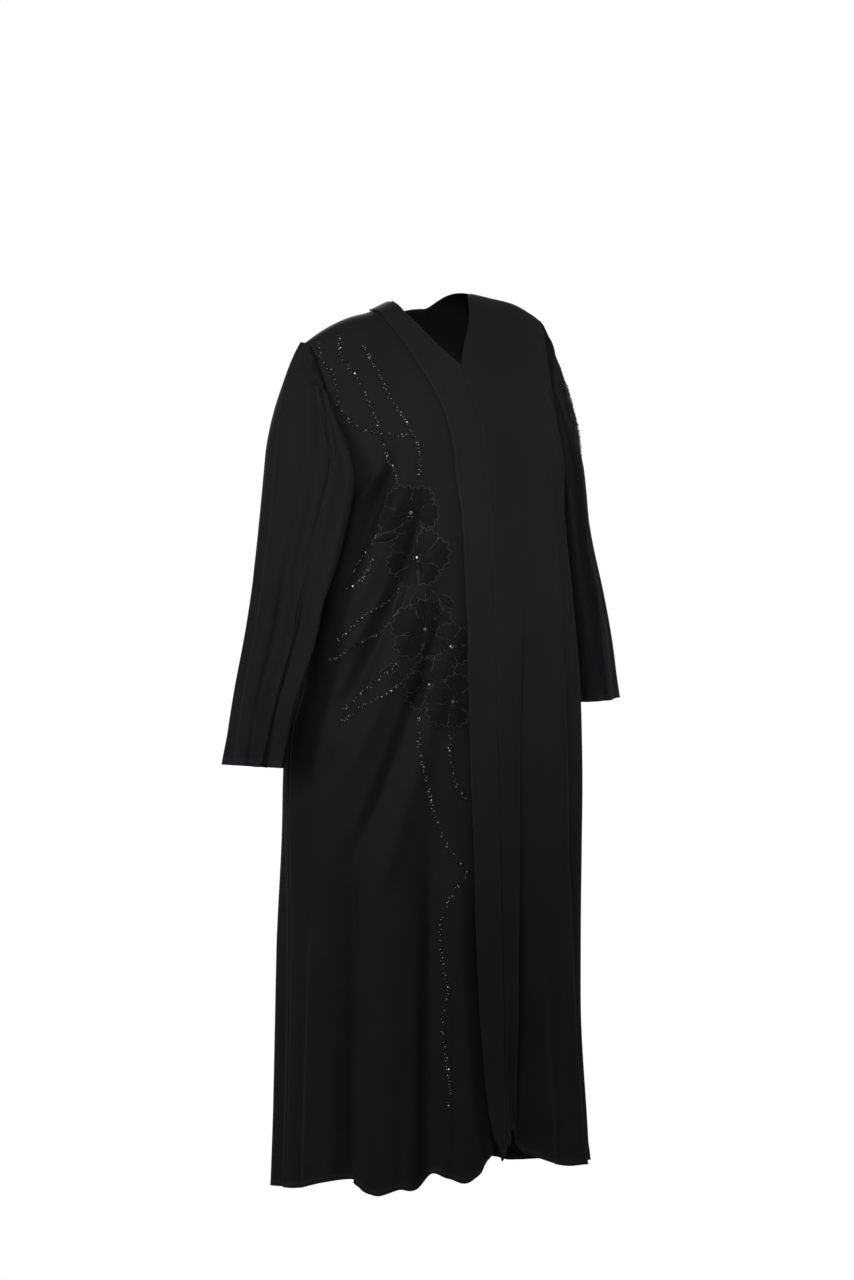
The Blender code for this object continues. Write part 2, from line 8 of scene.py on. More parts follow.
import bmesh
import bpy
import numpy as np
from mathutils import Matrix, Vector


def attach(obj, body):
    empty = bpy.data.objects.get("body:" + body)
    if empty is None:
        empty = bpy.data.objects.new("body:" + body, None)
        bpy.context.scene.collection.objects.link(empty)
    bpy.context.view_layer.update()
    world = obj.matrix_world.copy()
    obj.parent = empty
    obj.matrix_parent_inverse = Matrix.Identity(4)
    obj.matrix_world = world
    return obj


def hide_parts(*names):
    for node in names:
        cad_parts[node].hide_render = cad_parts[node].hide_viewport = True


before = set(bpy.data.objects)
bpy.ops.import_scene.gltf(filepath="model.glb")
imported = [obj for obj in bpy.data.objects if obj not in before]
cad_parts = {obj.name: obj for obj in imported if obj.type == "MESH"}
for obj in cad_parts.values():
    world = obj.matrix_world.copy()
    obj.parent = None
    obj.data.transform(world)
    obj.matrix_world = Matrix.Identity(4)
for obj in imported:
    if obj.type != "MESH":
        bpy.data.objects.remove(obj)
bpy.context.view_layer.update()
rng = np.random.default_rng(11)

MM = 0.001
# Cloth thickness, gaps and dips at the seams, and the longest cell of the body's and sleeves' grids.
CLOTH = 0.0009
BAND_THICKNESS = 0.002
CORD_RADIUS = 0.0011
SEAM_GAP = 0.0003
DRAWN_GAP = SEAM_GAP / 12
SEAM_DIP = 0.0006
FREE_EDGE_DIP = 0.0003
CELL = 0.0056
SLEEVE_CELL = 0.0046

# The garment's form, the same sizes as its solids.
RIDGE = {
    "x": (-0.260, -0.208, -0.193, -0.170, -0.135, -0.102, -0.060, 0.000, 0.060, 0.106, 0.154, 0.175,
          0.196, 0.213, 0.260),
    "z": (-0.100, -0.059, -0.048, -0.033, -0.016, -0.006, 0.014, 0.034, 0.034, 0.028, 0.019, 0.010,
          -0.001, -0.013, -0.060),
}
RIDGE_FADE = 0.35
SHOULDER_ROUND = 0.25
SHOULDER_ANGLE = 76.0
BACK_NECK_MIDDLE = 178.0
BACK_NECK_HALF = 31.0
BACK_NECK_DROP = 0.022
BACK_NECK_STEEPNESS = 1.4
BODY_SECTIONS = {
    "drop": (0.00, 0.10, 0.19, 0.31, 0.50, 0.70, 0.98, 1.10, 1.30, 1.42),
    "half_width": (0.214, 0.212, 0.209, 0.219, 0.234, 0.244, 0.239, 0.239, 0.247, 0.252),
    "front_depth": (0.120, 0.132, 0.156, 0.160, 0.167, 0.173, 0.187, 0.194, 0.206, 0.211),
    "back_depth": (0.120, 0.118, 0.118, 0.124, 0.148, 0.168, 0.185, 0.193, 0.206, 0.213),
    "shift": (-0.005, -0.002, 0.004, 0.010, 0.013, 0.010, 0.005, 0.004, 0.007, 0.007),
    "squareness": (2.5, 2.4, 2.3, 2.15, 2.05, 2.0, 2.0, 2.0, 2.0, 2.0),
}
HEM = {
    "angle": (-180, -150, -120, -95, -80, -64, -56, -47, -38, -32, -26, -19, -12, -6, -1, 4, 8,
              12, 16, 21, 28, 36, 44, 54, 66, 80, 100, 120, 150, 180),
    "drop": (1.370, 1.366, 1.364, 1.352, 1.342, 1.324, 1.326, 1.340, 1.331, 1.333, 1.311, 1.317, 1.324,
             1.312, 1.292, 1.276, 1.280, 1.256, 1.260, 1.290, 1.305, 1.317, 1.325, 1.329, 1.332, 1.345,
             1.358, 1.368, 1.364, 1.370),
}

# Folds, one row each: the angle and drop where it starts and ends, how far it bows round between them in
# degrees, its reach along the cloth to the wearer's right and left of its line, and how far it stands
# out, the last three in millimetres. The broad ones are those of the solids.
BODY_FOLDS = (
    # The sides, pressed in under the arms.
    (-92, 0.26, -94, 0.66, 0, 75, 75, -16),
    (92, 0.26, 95, 0.6, 0, 75, 75, -18),
    # Left front: a sharp valley beside the band, then pleats that fall from the bust to the hem, each
    # with a steep left side.
    (28, 0.34, 15, 1.45, 4, 13, 34, -20),
    (45, 0.2, 56, 1.45, 1.5, 32, 13, 10),
    (51, 0.26, 61, 1.45, 1, 13, 22, -13),
    (58, 0.14, 69, 1.45, 3, 22, 14, 10),
    (74, 0.34, 77, 1.45, 0, 14, 20, -10),
    (83, 0.62, 84, 1.45, 0, 22, 22, 3),
    # Between the band and the hem's high point, the cloth turns in.
    (12, 1.06, 14, 1.45, 0, 16, 16, -16),
    # Right front: valleys of the skirt, with soft ridges between them.
    (-28, 0.62, -30, 1.45, 1.5, 26, 22, -14),
    (-12, 0.7, -12, 1.45, 0, 24, 24, 8),
    (-42, 0.76, -43, 1.45, 0, 24, 28, 9),
    (-60, 0.72, -61, 1.45, 0, 30, 14, -14),
    (-72, 0.86, -75, 1.45, 0, 22, 22, 10),
    # Right front: drapes that fall from the bust to the hand side.
    (-32, 0.22, -66, 0.52, 0, 15, 13, 8),
    (-38, 0.2, -72, 0.46, 0, 13, 14, -8),
    (-28, 0.3, -70, 0.66, 0, 14, 15, -9),
    (-22, 0.34, -64, 0.76, 0, 18, 14, 9),
    (-18, 0.42, -62, 0.88, 0, 12, 18, -8),
    (-12, 0.46, -52, 0.96, 0, 20, 14, 8),
    # Back: soft pleats from the shoulder blades down.
    (124, 0.4, 118, 1.45, 0, 26, 20, -14),
    (138, 0.55, 134, 1.45, 0, 22, 26, 12),
    (151, 0.34, 150, 1.45, 0, 18, 26, -15),
    (166, 0.5, 165, 1.45, 0, 28, 20, 13),
    (180, 0.32, 181, 1.45, 0, 20, 26, -15),
    (194, 0.55, 197, 1.45, 0, 24, 27, 12),
    (208, 0.36, 212, 1.45, 0, 26, 18, -15),
    (222, 0.6, 228, 1.45, 0, 22, 26, 12),
    (237, 0.46, 243, 1.45, 0, 26, 20, -12),
    (108, 0.7, 104, 1.45, 0, 22, 22, 10),
    (252, 0.75, 257, 1.45, 0, 22, 22, 9),
)
# Sharper creases along the folds, with the same columns.
CREASES = (
    # Right front: pulls from the bust to the arm.
    (-36, 0.17, -72, 0.45, 0, 9.5, 14, -5.8),
    (-26, 0.26, -70, 0.64, 0, 6.5, 14, -8.5),
    (-19, 0.43, -62, 0.86, 0, 6.5, 14, -7.5),
    (-34, 0.36, -71, 0.57, 0, 9.2, 6.5, 4.6),
    (-59, 0.78, -60, 1.45, 0, 14, 6.5, -8.5),
    # Left front: the sharp lines of its valleys.
    (26.8, 0.36, 16.6, 1.34, 4, 6.5, 18, -10.5),
    (49, 0.25, 59, 1.45, 1, 6.5, 18, -11.5),
    (45.5, 0.21, 55.5, 1.45, 1, 14, 7, 4),
    (72.5, 0.36, 76, 1.45, 0, 6.5, 14, -7),
)
# Narrow creases, with the same reach on both sides and no bow: start, end, reach and height.
NARROW_CREASES = (
    # Right front: pulls from the bust to the arm, then the skirt.
    (-43, 0.22, -62, 0.31, 10.3, 4.9),
    (-46, 0.25, -60, 0.34, 9.2, -4.9),
    (-40, 0.29, -57, 0.39, 11.5, 4.6),
    (-45, 0.46, -69, 0.68, 12.6, -5.6),
    (-50, 0.52, -74, 0.72, 10.3, 4.2),
    (-62, 0.2, -73, 0.27, 8, -3.5),
    (-66, 0.13, -73, 0.2, 6.9, 2.8),
    (-24, 0.74, -30, 1.45, 11.5, -5.3),
    (-32, 0.92, -35, 1.45, 10.3, 4.6),
    (-57, 0.94, -60, 1.45, 11.5, -5.6),
    (-50, 1.02, -50, 1.45, 10.3, 3.9),
    (-79, 0.7, -81, 1.45, 11.5, -5.3),
    (-37, 1.1, -38, 1.45, 9.2, -4.2),
    (-15, 0.96, -17, 1.45, 9.2, -3.9),
    (-66, 1, -67, 1.45, 10.3, 4.2),
    # Left front: from the shoulder and bust down to the hem.
    (41, 0.02, 31, 0.1, 6.9, 2.4),
    (54, 0.12, 69, 0.29, 10.3, 4.9),
    (60, 0.11, 72, 0.21, 8, -3.2),
    (46, 0.21, 49, 0.54, 9.2, 4.2),
    (51, 0.44, 54, 0.98, 10.3, -5.1),
    (30, 0.48, 29, 1.2, 9.2, 3.5),
    (40, 0.8, 38, 1.45, 10.3, -4.9),
    (62, 0.68, 63, 1.45, 10.3, 4.6),
    (75, 0.84, 77, 1.45, 10.3, -4.6),
    (85, 0.58, 86, 1.45, 11.5, 4.6),
    (21, 0.94, 20, 1.45, 9.2, -4.2),
    # Back: between the broad pleats, and from the shoulder blades to the arms.
    (116, 0.22, 104, 0.4, 11.5, 4.9),
    (128, 0.18, 110, 0.31, 10.3, -4.2),
    (244, 0.2, 256, 0.37, 11.5, 4.9),
    (232, 0.17, 250, 0.3, 10.3, -4.2),
    (130, 0.46, 127, 1.45, 11.5, 4.9),
    (144, 0.4, 143, 1.45, 11.5, -4.6),
    (158, 0.42, 157, 1.45, 12.6, 4.9),
    (172, 0.38, 174, 1.45, 11.5, -4.9),
    (187, 0.44, 189, 1.45, 12.6, 4.6),
    (201, 0.42, 205, 1.45, 11.5, -4.6),
    (215, 0.48, 220, 1.45, 11.5, 4.9),
    (230, 0.62, 236, 1.45, 11.5, -4.9),
    (99, 0.64, 97, 1.45, 11.5, -4.6),
    (262, 0.66, 264, 1.45, 11.5, -4.6),
)

ARMHOLE = {
    "drop": (0.300, 0.285, 0.255, 0.218, 0.178, 0.138, 0.098, 0.060, 0.026, 0.006, 0.000),
    "front_angle": (90.0, 83.5, 77.5, 73.5, 71.5, 71.0, 71.6, 72.8, 74.4, 75.2, SHOULDER_ANGLE),
    "back_angle": (90.0, 96.5, 101.5, 104.5, 106.0, 106.4, 106.2, 105.6, 104.8, 104.4,
                   180.0 - SHOULDER_ANGLE),
}
BODICE_ROWS = len(ARMHOLE["drop"]) - 1
NECK_POINT_ROW = 6
SKIRT_ROWS = 190
BACK_COLUMNS = 128
RIGHT_COLUMNS = 78
LEFT_COLUMNS = 66
BAND_COLUMNS = 16
BAND_SEAM = {
    "x": (0.0262, 0.0235, 0.0195, 0.016, 0.011, 0.004, 0.000, 0.012, 0.034, 0.054, 0.072),
    "drop": (0.335, 0.305, 0.270, 0.235, 0.195, 0.150, 0.120, 0.092, 0.052, 0.012, 0.000),
}
UNDER_EDGE = {
    "x": (0.012, 0.012, 0.012, 0.011, 0.008, 0.000, -0.018, -0.042, -0.064, -0.0715, -0.078),
    "drop": (0.335, 0.305, 0.270, 0.235, 0.200, 0.158, 0.118, 0.078, 0.036, 0.009, 0.000),
}
BAND_INNER = {
    "x": (0.0262, 0.0235, 0.0195, 0.016, 0.011, 0.004, 0.000, -0.018, -0.040, -0.059,
          -0.0645, -0.069),
    "drop": (0.335, 0.305, 0.270, 0.235, 0.195, 0.150, 0.120, 0.099, 0.068, 0.030, 0.007, 0.000),
}
BAND_FREE = {
    "x": (-0.023, -0.026, -0.030, -0.033, -0.0385, -0.047, -0.056, -0.067, -0.079, -0.092,
          -0.096, -0.099),
    "drop": (0.335, 0.305, 0.270, 0.240, 0.208, 0.170, 0.137, 0.104, 0.068, 0.030, 0.007, 0.000),
}
SEAM_BELOW = {
    "drop": (0.335, 0.46, 0.65, 0.82, 1.00, 1.21, 1.32),
    "x": (0.0262, 0.029, 0.0325, 0.0343, 0.0344, 0.034, 0.0345),
}
EDGE_BELOW = {
    "drop": (0.335, 0.47, 0.64, 0.78, 0.97, 1.10, 1.17, 1.225, 1.26, 1.30),
    "x": (-0.023, -0.019, -0.0165, -0.015, -0.0175, -0.0128, -0.0076, -0.002, 0.006, 0.021),
}
BAND_CORNER_DROP = 1.297
BAND_SEAM_HEM_DROP = 1.268
UNDER_EDGE_HEM_DROP = 1.285
BAND_LIFT = 0.0036
BAND_OPEN_LIFT = 0.009
BAND_OPENS_AT = 0.27
BAND_OPENS_OVER = 0.12
LIFT_AT_RIDGE = 0.75
LIFT_GROWS_OVER = 0.06
LEFT_LIFT_STARTS = 8.0
LEFT_LIFT_FADES_OVER = 44.0

# The sleeves' sections from the armhole down to the cuff, in millimetres.
SLEEVE_COLUMNS = (
    "outer_x", "outer_z", "inner_x", "inner_z", "front_x", "front_y", "back_x", "back_y",
)
SLEEVE_RIGHT = (
    (-229, -88, -216, -318, -210, -88, -222, 80),
    (-245, -130, -217, -340, -198, -108, -230, 86),
    (-250, -200, -218, -366, -187, -119, -236, 86),
    (-260, -300, -221, -414, -200, -106, -246, 78),
    (-273, -400, -229, -476, -220, -95, -258, 70),
    (-289, -500, -240, -545, -238, -90, -272, 64),
    (-309, -600, -252, -622, -264, -76, -288, 62),
    (-324, -704, -261, -708, -280, -62, -304, 62),
)
SLEEVE_LEFT = (
    (219, -40, 216, -305, 214, -84, 214, 80),
    (231, -88, 218, -322, 219, -82, 226, 86),
    (240, -160, 220, -346, 226, -86, 233, 88),
    (250.5, -250, 226, -386, 232, -90, 243, 84),
    (266, -340, 235, -434, 240, -97, 257, 78),
    (288, -430, 243, -486, 252, -104, 273, 72),
    (311, -515, 250, -546, 263, -102, 288, 66),
    (326, -604, 256, -614, 274, -98, 298, 60),
)
# Places of a sleeve's rings, from the armhole (0) to the cuff (1), closer together near the armhole.
RING_PLACES = np.linspace(0, 1, 131) ** 1.25
ARMHOLE_BLEND = 0.30
BODY_CLEARANCE = 0.004
CLEARANCE_FULL_AT = 0.12
CLEAR_BELOW = 0.012
CLEAR_GROWS_OVER = 0.060

# Sleeve folds: angle round the sleeve (0 on the shoulder, 90 in front, 180 under the arm), where along it
# each starts and ends (0 to 1), reach in degrees, height in millimetres.
SLEEVE_FOLDS = (
    (22, 0.04, 30, 1.3, 9, -9),
    (42, 0.04, 50, 1.3, 11, 7),
    (62, 0.06, 72, 1.3, 9, -9),
    (88, 0.16, 96, 1.3, 12, 7),
    (112, 0.06, 122, 0.9, 11, -8),
    (-22, 0.06, -30, 1.3, 12, 6),
    (-48, 0.06, -56, 1.3, 10, -8),
    (-84, 0.2, -90, 1.3, 13, 6),
)
# Valleys that fall from the right sleeve's head, then creases of both sleeves.
RIGHT_SLEEVE_VALLEYS = (
    (50, -0.1, 56, 0.85, 15, -16),
    (24, -0.08, 30, 0.95, 7, -8),
    (34, -0.06, 40, 0.6, 6, 5),
    (76, -0.06, 84, 0.6, 10, 7),
    (9, -0.06, 14, 0.62, 6, -5),
)
SLEEVE_CREASES = (
    (33, 0.05, 36, 0.55, 6.2, -4),
    (57, 0.06, 64, 0.7, 6.2, 4.3),
    (78, 0.16, 96, 0.58, 7.5, 4),
    (86, 0.05, 118, 0.34, 7.5, -4.3),
    (112, 0.34, 92, 0.62, 7.5, 3.6),
    (8, 0.1, 6, 1.3, 7.5, 4),
    (36, 0.52, 38, 1.3, 7.5, -4.3),
    (70, 0.7, 66, 1.3, 7.5, 4.3),
    (118, 0.58, 128, 1.3, 8.8, -4.3),
    (-12, 0.3, -16, 1.3, 7.5, -4),
    (-40, 0.06, -44, 0.72, 7.5, 4.3),
    (-68, 0.12, -74, 1.3, 7.5, -4),
    (-102, 0.1, -112, 0.56, 8.8, -4.3),
    (-120, 0.44, -124, 1.3, 8.8, 4),
)
# Gathers of the sleeve head: the way round the armhole from the shoulder (+ in front), how far down the
# sleeve each runs (0 to 1), and its height in millimetres.
HEAD_GATHERS = (
    (-0.165, 0.22, 2.9), (-0.141, 0.32, 4.3), (-0.119, 0.24, 3.2), (-0.095, 0.46, 5.1),
    (-0.072, 0.27, 3.4), (-0.048, 0.41, 4.9), (-0.027, 0.24, 3.2), (-0.004, 0.51, 5.4),
    (0.021, 0.27, 3.7), (0.043, 0.46, 5.6), (0.066, 0.30, 4.1), (0.087, 0.54, 5.9),
    (0.111, 0.27, 3.4), (0.133, 0.41, 4.9), (0.157, 0.23, 2.9),
)
GATHERS_START_OVER = 0.03
LEFT_GATHER_SHARE = 0.6
HEAD_GATHER_REACH = 0.008
CREASES_END = 125.0
CREASES_FADE = 40.0
# Shares of a fold's length over which it grows and fades, and of the sleeve before its folds are full.
FOLD_GROWS, FOLD_FADES = 0.35, 0.25
SLEEVE_FOLD_GROWS, SLEEVE_FOLD_FADES = 0.20, 0.25
SLEEVE_FOLDS_FULL_AT = 0.14
PAST_HEM = 1.4
# A first guess of the front's radius.
FIRST_RADIUS = 0.17
UNEVEN = 0.0005
SLEEVE_UNEVEN = 0.0004

# Fine waves of the rolled hems: how many go round, height and phase.
HEM_WAVES = ((47, 0.0016, 0.3), (71, 0.001, 1.9), (23, 0.0014, 4.1))
HEM_WAVES_FADE = 0.045
CUFF_WAVES = ((9, 0.0016, 0.8), (15, 0.0012, 2.7))
CUFF_WAVES_FADE = 0.07
# Painted light at the hems and cuffs: how far up the single layer is painted paler, as light shining
# through it, and the share of that paler colour.
BACKLIGHT_EDGE = 0.012
BACKLIGHT_CUFF = 0.018
BACKLIGHT_SHARE = 0.45

CREPE_DARK = (0.0052, 0.0054, 0.006)
CREPE_LIGHT = (0.0074, 0.0076, 0.0085)
# A paler colour: specks of the pebbled grain, and painted light shining through the single layer at the
# hems and cuffs.
CREPE_SPECK_AND_BACKLIGHT = (0.026, 0.027, 0.030)


def curve(xs, ys, at):
    """A smooth curve through the rows of a table, read at any place."""
    xs, ys, at = np.asarray(xs, float), np.asarray(ys, float), np.asarray(at, float)
    slope = np.gradient(ys, xs)
    here = np.clip(np.searchsorted(xs, at) - 1, 0, len(xs) - 2)
    step = xs[here + 1] - xs[here]
    t = np.clip((at - xs[here]) / step, 0.0, 1.0)
    return (
        ys[here] * (1 + 2 * t) * (1 - t) ** 2
        + ys[here + 1] * t * t * (3 - 2 * t)
        + slope[here] * step * t * (1 - t) ** 2
        - slope[here + 1] * step * t * t * (1 - t)
    )


def smooth(t):
    t = np.clip(t, 0.0, 1.0)
    return t * t * (3 - 2 * t)


def unit(vectors):
    return vectors / np.linalg.norm(vectors, axis=-1, keepdims=True)


def wrapped(angle):
    """The same angle, from -180 to 180 degrees."""
    return (angle + 180.0) % 360.0 - 180.0


def drop_to_down(drop):
    """The way down over the cloth, which starts level at the shoulder ridge, for a drop below it."""
    drop = np.asarray(drop, float)
    rounded = SHOULDER_ROUND * np.arccos(1 - np.clip(drop / SHOULDER_ROUND, 0, 1))
    return rounded + np.maximum(drop - SHOULDER_ROUND, 0)


def down_to_drop(down):
    """The drop below the ridge, and how far the cloth has reached its full depth (0 to 1)."""
    quarter = SHOULDER_ROUND * np.pi / 2
    turn = np.minimum(down, quarter) / SHOULDER_ROUND
    drop = SHOULDER_ROUND * (1 - np.cos(turn)) + np.maximum(down - quarter, 0)
    return drop, np.sin(turn)


def ridge_height(x):
    return curve(RIDGE["x"], RIDGE["z"], x)


def section(column, drop):
    return curve(BODY_SECTIONS["drop"], BODY_SECTIONS[column], drop)


def hem_drop(angle):
    return curve(HEM["angle"], HEM["drop"], wrapped(np.asarray(angle, float)))


def waves(rows, turn):
    return sum(height * np.sin(count * turn + start) for count, height, start in rows)


def hem_waves(angle, drop):
    """Fine waves near the rolled hem."""
    near = smooth(1 - (hem_drop(angle) - drop) / HEM_WAVES_FADE)
    turn = np.radians(angle)
    return near * (0.7 + 0.3 * np.sin(5 * turn + 1.1)) * waves(HEM_WAVES, turn)


def fold_relief(angle, drop, radius):
    """How far the folds and creases move the cloth out at each place."""
    total = UNEVEN * np.sin(9.0 * drop + 0.13 * angle) * np.sin(0.071 * angle - 6.0 * drop)
    narrow = tuple((*row[:4], 0.0, row[4], row[4], row[5]) for row in NARROW_CREASES)
    for row in BODY_FOLDS + CREASES + narrow:
        start_angle, start_drop, end_angle, end_drop, bow, reach_right, reach_left, height = row
        along = (drop - start_drop) / (end_drop - start_drop)
        middle = start_angle + (end_angle - start_angle) * along + bow * 4 * along * (1 - along)
        away = wrapped(angle - middle)
        sideways = np.radians(away) * radius / (np.where(away < 0, reach_right, reach_left) * MM)
        fading = smooth((1 - along) / FOLD_FADES) if end_drop < PAST_HEM else 1.0
        total = total + height * MM * smooth(along / FOLD_GROWS) * fading * np.exp(-sideways * sideways)
    return total + hem_waves(angle, drop)


def body_radius(angle, drop):
    """The distance from the body's axis to the cloth, before the folds."""
    turn = np.radians(angle)
    power = section("squareness", drop)
    depth = np.where(np.cos(turn) >= 0, section("front_depth", drop), section("back_depth", drop))
    across = (np.abs(np.sin(turn)) / section("half_width", drop)) ** power
    return (across + (np.abs(np.cos(turn)) / depth) ** power) ** (-1 / power)


def folded_radius(angle, drop):
    radius = body_radius(angle, drop)
    return radius + fold_relief(angle, drop, radius)


def body_point(angle, down):
    """Points of the body's outer face, by the angle round it and the way down over the cloth."""
    angle, down = np.broadcast_arrays(np.asarray(angle, float), np.asarray(down, float))
    drop, reached = down_to_drop(down)
    radius = folded_radius(angle, drop)
    turn = np.radians(angle)
    x = section("shift", drop) + radius * np.sin(turn)
    y = -radius * np.cos(turn) * reached
    z = ridge_height(x) * np.exp(-drop / RIDGE_FADE) - drop
    return np.stack([x, y, z], axis=-1)


def body_normal(angle, down):
    """The direction that the body's outer face looks in."""
    around = body_point(angle + 0.05, down) - body_point(angle - 0.05, down)
    over = body_point(angle, down + 1e-4) - body_point(angle, down - 1e-4)
    return unit(np.cross(over, around))


def angle_at(x, drop):
    """The angle of the place on the front that lies x left or right of the centre."""
    x, drop = np.asarray(x, float), np.asarray(drop, float)
    radius = FIRST_RADIUS
    for _ in range(31):
        sine = np.clip((x - section("shift", drop)) / radius, -0.95, 0.95)
        angle = np.degrees(np.arcsin(sine))
        radius = folded_radius(angle, drop)
    return angle


def steps_of(drops, cell):
    """Places from the first row of a table to its last, no further apart over the cloth than a cell."""
    places = [0.0]
    for row, length in enumerate(np.abs(np.diff(drop_to_down(drops)))):
        count = max(1, int(np.ceil(length / cell)))
        places += list(row + np.arange(1, count + 1) / count)
    return np.array(places)


BODY_STEPS = steps_of(ARMHOLE["drop"], CELL)


def read_rows(values, at, corner=None):
    """A table's rows read at any place. A corner is a row where the curve may turn sharply."""
    rows = np.arange(len(values))
    if corner is None:
        return curve(rows, values, at)
    below = curve(rows[:corner + 1], values[:corner + 1], at)
    return np.where(at <= corner, below, curve(rows[corner:], values[corner:], at))


def skirt_drops(hem, top):
    return hem + (top - hem) * np.linspace(0, 1, SKIRT_ROWS + 1)


def patch(first_angle, first_drop, last_angle, last_drop, columns, first_hem=None):
    """Angles and ways down over a panel between its two long edges, rows from the hem up."""
    across = np.linspace(0, 1, columns + 1)[None, :]
    angle = first_angle[:, None] * (1 - across) + last_angle[:, None] * across
    down = drop_to_down(first_drop)[:, None] * (1 - across) + drop_to_down(last_drop)[:, None] * across
    hem = drop_to_down(hem_drop(angle[0]))
    if first_hem is not None:
        hem = drop_to_down(first_hem) * (1 - across[0]) + hem[-1] * across[0]
    share = np.linspace(0, 1, SKIRT_ROWS + 1)[:SKIRT_ROWS, None]
    down[:SKIRT_ROWS] = hem + (down[SKIRT_ROWS] - hem) * share
    return angle, down


def side_rows(side, face, steps):
    """Angle and drop of the side seam and the armhole, rows from the hem up."""
    drops = read_rows(ARMHOLE["drop"], steps)
    angle = np.concatenate([np.full(SKIRT_ROWS, 90.0), read_rows(ARMHOLE[face], steps)])
    drop = np.concatenate([skirt_drops(hem_drop(90.0 * side), drops[0])[:-1], drops])
    return angle * side, drop


def front_rows(top, below, hem, steps, corner=None):
    """Angle and drop of a front edge, rows from the hem up."""
    top_drop = read_rows(top["drop"], steps, corner)
    low = skirt_drops(hem, top_drop[0])[:-1]
    low_x = curve(below["drop"], below["x"], low) if below else np.full(SKIRT_ROWS, top["x"][0])
    drop = np.concatenate([low, top_drop])
    return angle_at(np.concatenate([low_x, read_rows(top["x"], steps, corner)]), drop), drop


def left_lift(angle, down):
    """How far the left front stands off the base surface: the band's lift at the seam, none at the side."""
    drop, _ = down_to_drop(down)
    away = smooth(1 - (angle - LEFT_LIFT_STARTS) / LEFT_LIFT_FADES_OVER)
    return BAND_LIFT * away * smooth(drop / LIFT_GROWS_OVER)


def grid_faces(points, closed=False):
    """Quads over a grid of points."""
    rows, columns = points.shape[:2]
    index = np.arange(rows * columns).reshape(rows, columns)
    after = np.roll(index, -1, axis=1)
    last = columns if closed else columns - 1
    faces = np.stack([index[:-1, :last], after[:-1, :last], after[1:, :last], index[1:, :last]], axis=-1)
    return faces.reshape(-1, 4)


def link_mesh(name, points, faces, material, flat=False):
    mesh = bpy.data.meshes.new(name)
    mesh.from_pydata(points.tolist(), [], faces)
    if not flat:
        mesh.shade_smooth()
    mesh.materials.append(material)
    piece = bpy.data.objects.new(name, mesh)
    bpy.context.scene.collection.objects.link(piece)
    return piece


def make_shell(name, points, material, thickness, painted_backlight=None, closed=False):
    """A cloth shell from a grid of points of its outer face, with its inside at the given depth."""
    piece = link_mesh(name, points.reshape(-1, 3), grid_faces(points, closed).tolist(), material)
    # A mask of painted light shining through the single layer, read by the crepe's colour.
    if painted_backlight is not None:
        layer = piece.data.attributes.new("painted_backlight", "FLOAT", "POINT")
        layer.data.foreach_set("value", painted_backlight.reshape(-1).astype(np.float32))
    shell = piece.modifiers.new("cloth", "SOLIDIFY")
    shell.thickness = thickness
    shell.offset = -1.0
    return piece


def make_mesh(name, pile, material, flat=False):
    """One object from a pile of (points, faces)."""
    faces, start = [], 0
    for part_points, part_faces in pile:
        faces += [[int(corner) + start for corner in face] for face in part_faces]
        start += len(part_points)
    return link_mesh(name, np.concatenate([part_points for part_points, _ in pile]), faces, material, flat)


def make_tube(path, normals, radius, sides=6, closed=False):
    """Points and faces of a round cord along a path that lies on the cloth."""
    if closed:
        along = np.roll(path, -1, axis=0) - np.roll(path, 1, axis=0)
    else:
        along = np.gradient(path, axis=0)
    across = unit(np.cross(unit(along), normals))
    turn = np.arange(sides) * 2 * np.pi / sides
    ring = normals[:, None] * np.cos(turn)[None, :, None] + across[:, None] * np.sin(turn)[None, :, None]
    points = path[:, None] + ring * radius
    faces = []
    count = len(path)
    for step in range(count if closed else count - 1):
        a, b = step * sides, (step + 1) % count * sides
        for side in range(sides):
            other = (side + 1) % sides
            faces.append([a + side, b + side, b + other, a + other])
    if not closed:
        faces.append(list(range(sides)))
        faces.append([(count - 1) * sides + side for side in reversed(range(sides))])
    return points.reshape(-1, 3), faces


def set_inputs(tree, node, values):
    """Sets a node's inputs, or links them where the value is another node's output."""
    for name, value in values.items():
        if isinstance(value, bpy.types.NodeSocket):
            tree.links.new(value, node.inputs[name])
        else:
            node.inputs[name].default_value = value
    return node


def add_node(tree, kind, values):
    return set_inputs(tree, tree.nodes.new(kind), values)


def add_noise(tree, place, scale, detail, roughness=0.5):
    values = {"Scale": scale, "Detail": detail, "Roughness": roughness, "Vector": place}
    return add_node(tree, "ShaderNodeTexNoise", values).outputs["Fac"]


def add_range(tree, value, low, high):
    values = {"From Min": 0.3, "From Max": 0.7, "To Min": low, "To Max": high, "Value": value}
    return add_node(tree, "ShaderNodeMapRange", values).outputs["Result"]


def add_mix(tree, factor, first, second):
    mix = tree.nodes.new("ShaderNodeMix")
    mix.data_type = "RGBA"
    first, second = ((*value, 1.0) if isinstance(value, tuple) else value for value in (first, second))
    return set_inputs(tree, mix, {"Factor": factor, "A": first, "B": second}).outputs["Result"]


def add_bump(tree, height, strength, distance, **under):
    values = {"Strength": strength, "Distance": distance, "Height": height, **under}
    return add_node(tree, "ShaderNodeBump", values).outputs["Normal"]


def make_dyed(name, scale, detail, dark, light):
    """A material with cloudy dye: its tree, shader, place and cloud, and the colour made."""
    material = bpy.data.materials.new(name)
    material.use_nodes = True
    tree = material.node_tree
    place = tree.nodes.new("ShaderNodeTexCoord").outputs["Object"]
    cloud = add_noise(tree, place, scale, detail)
    colour = add_mix(tree, add_range(tree, cloud, 0.0, 1.0), dark, light)
    return material, tree, tree.nodes["Principled BSDF"], place, cloud, colour


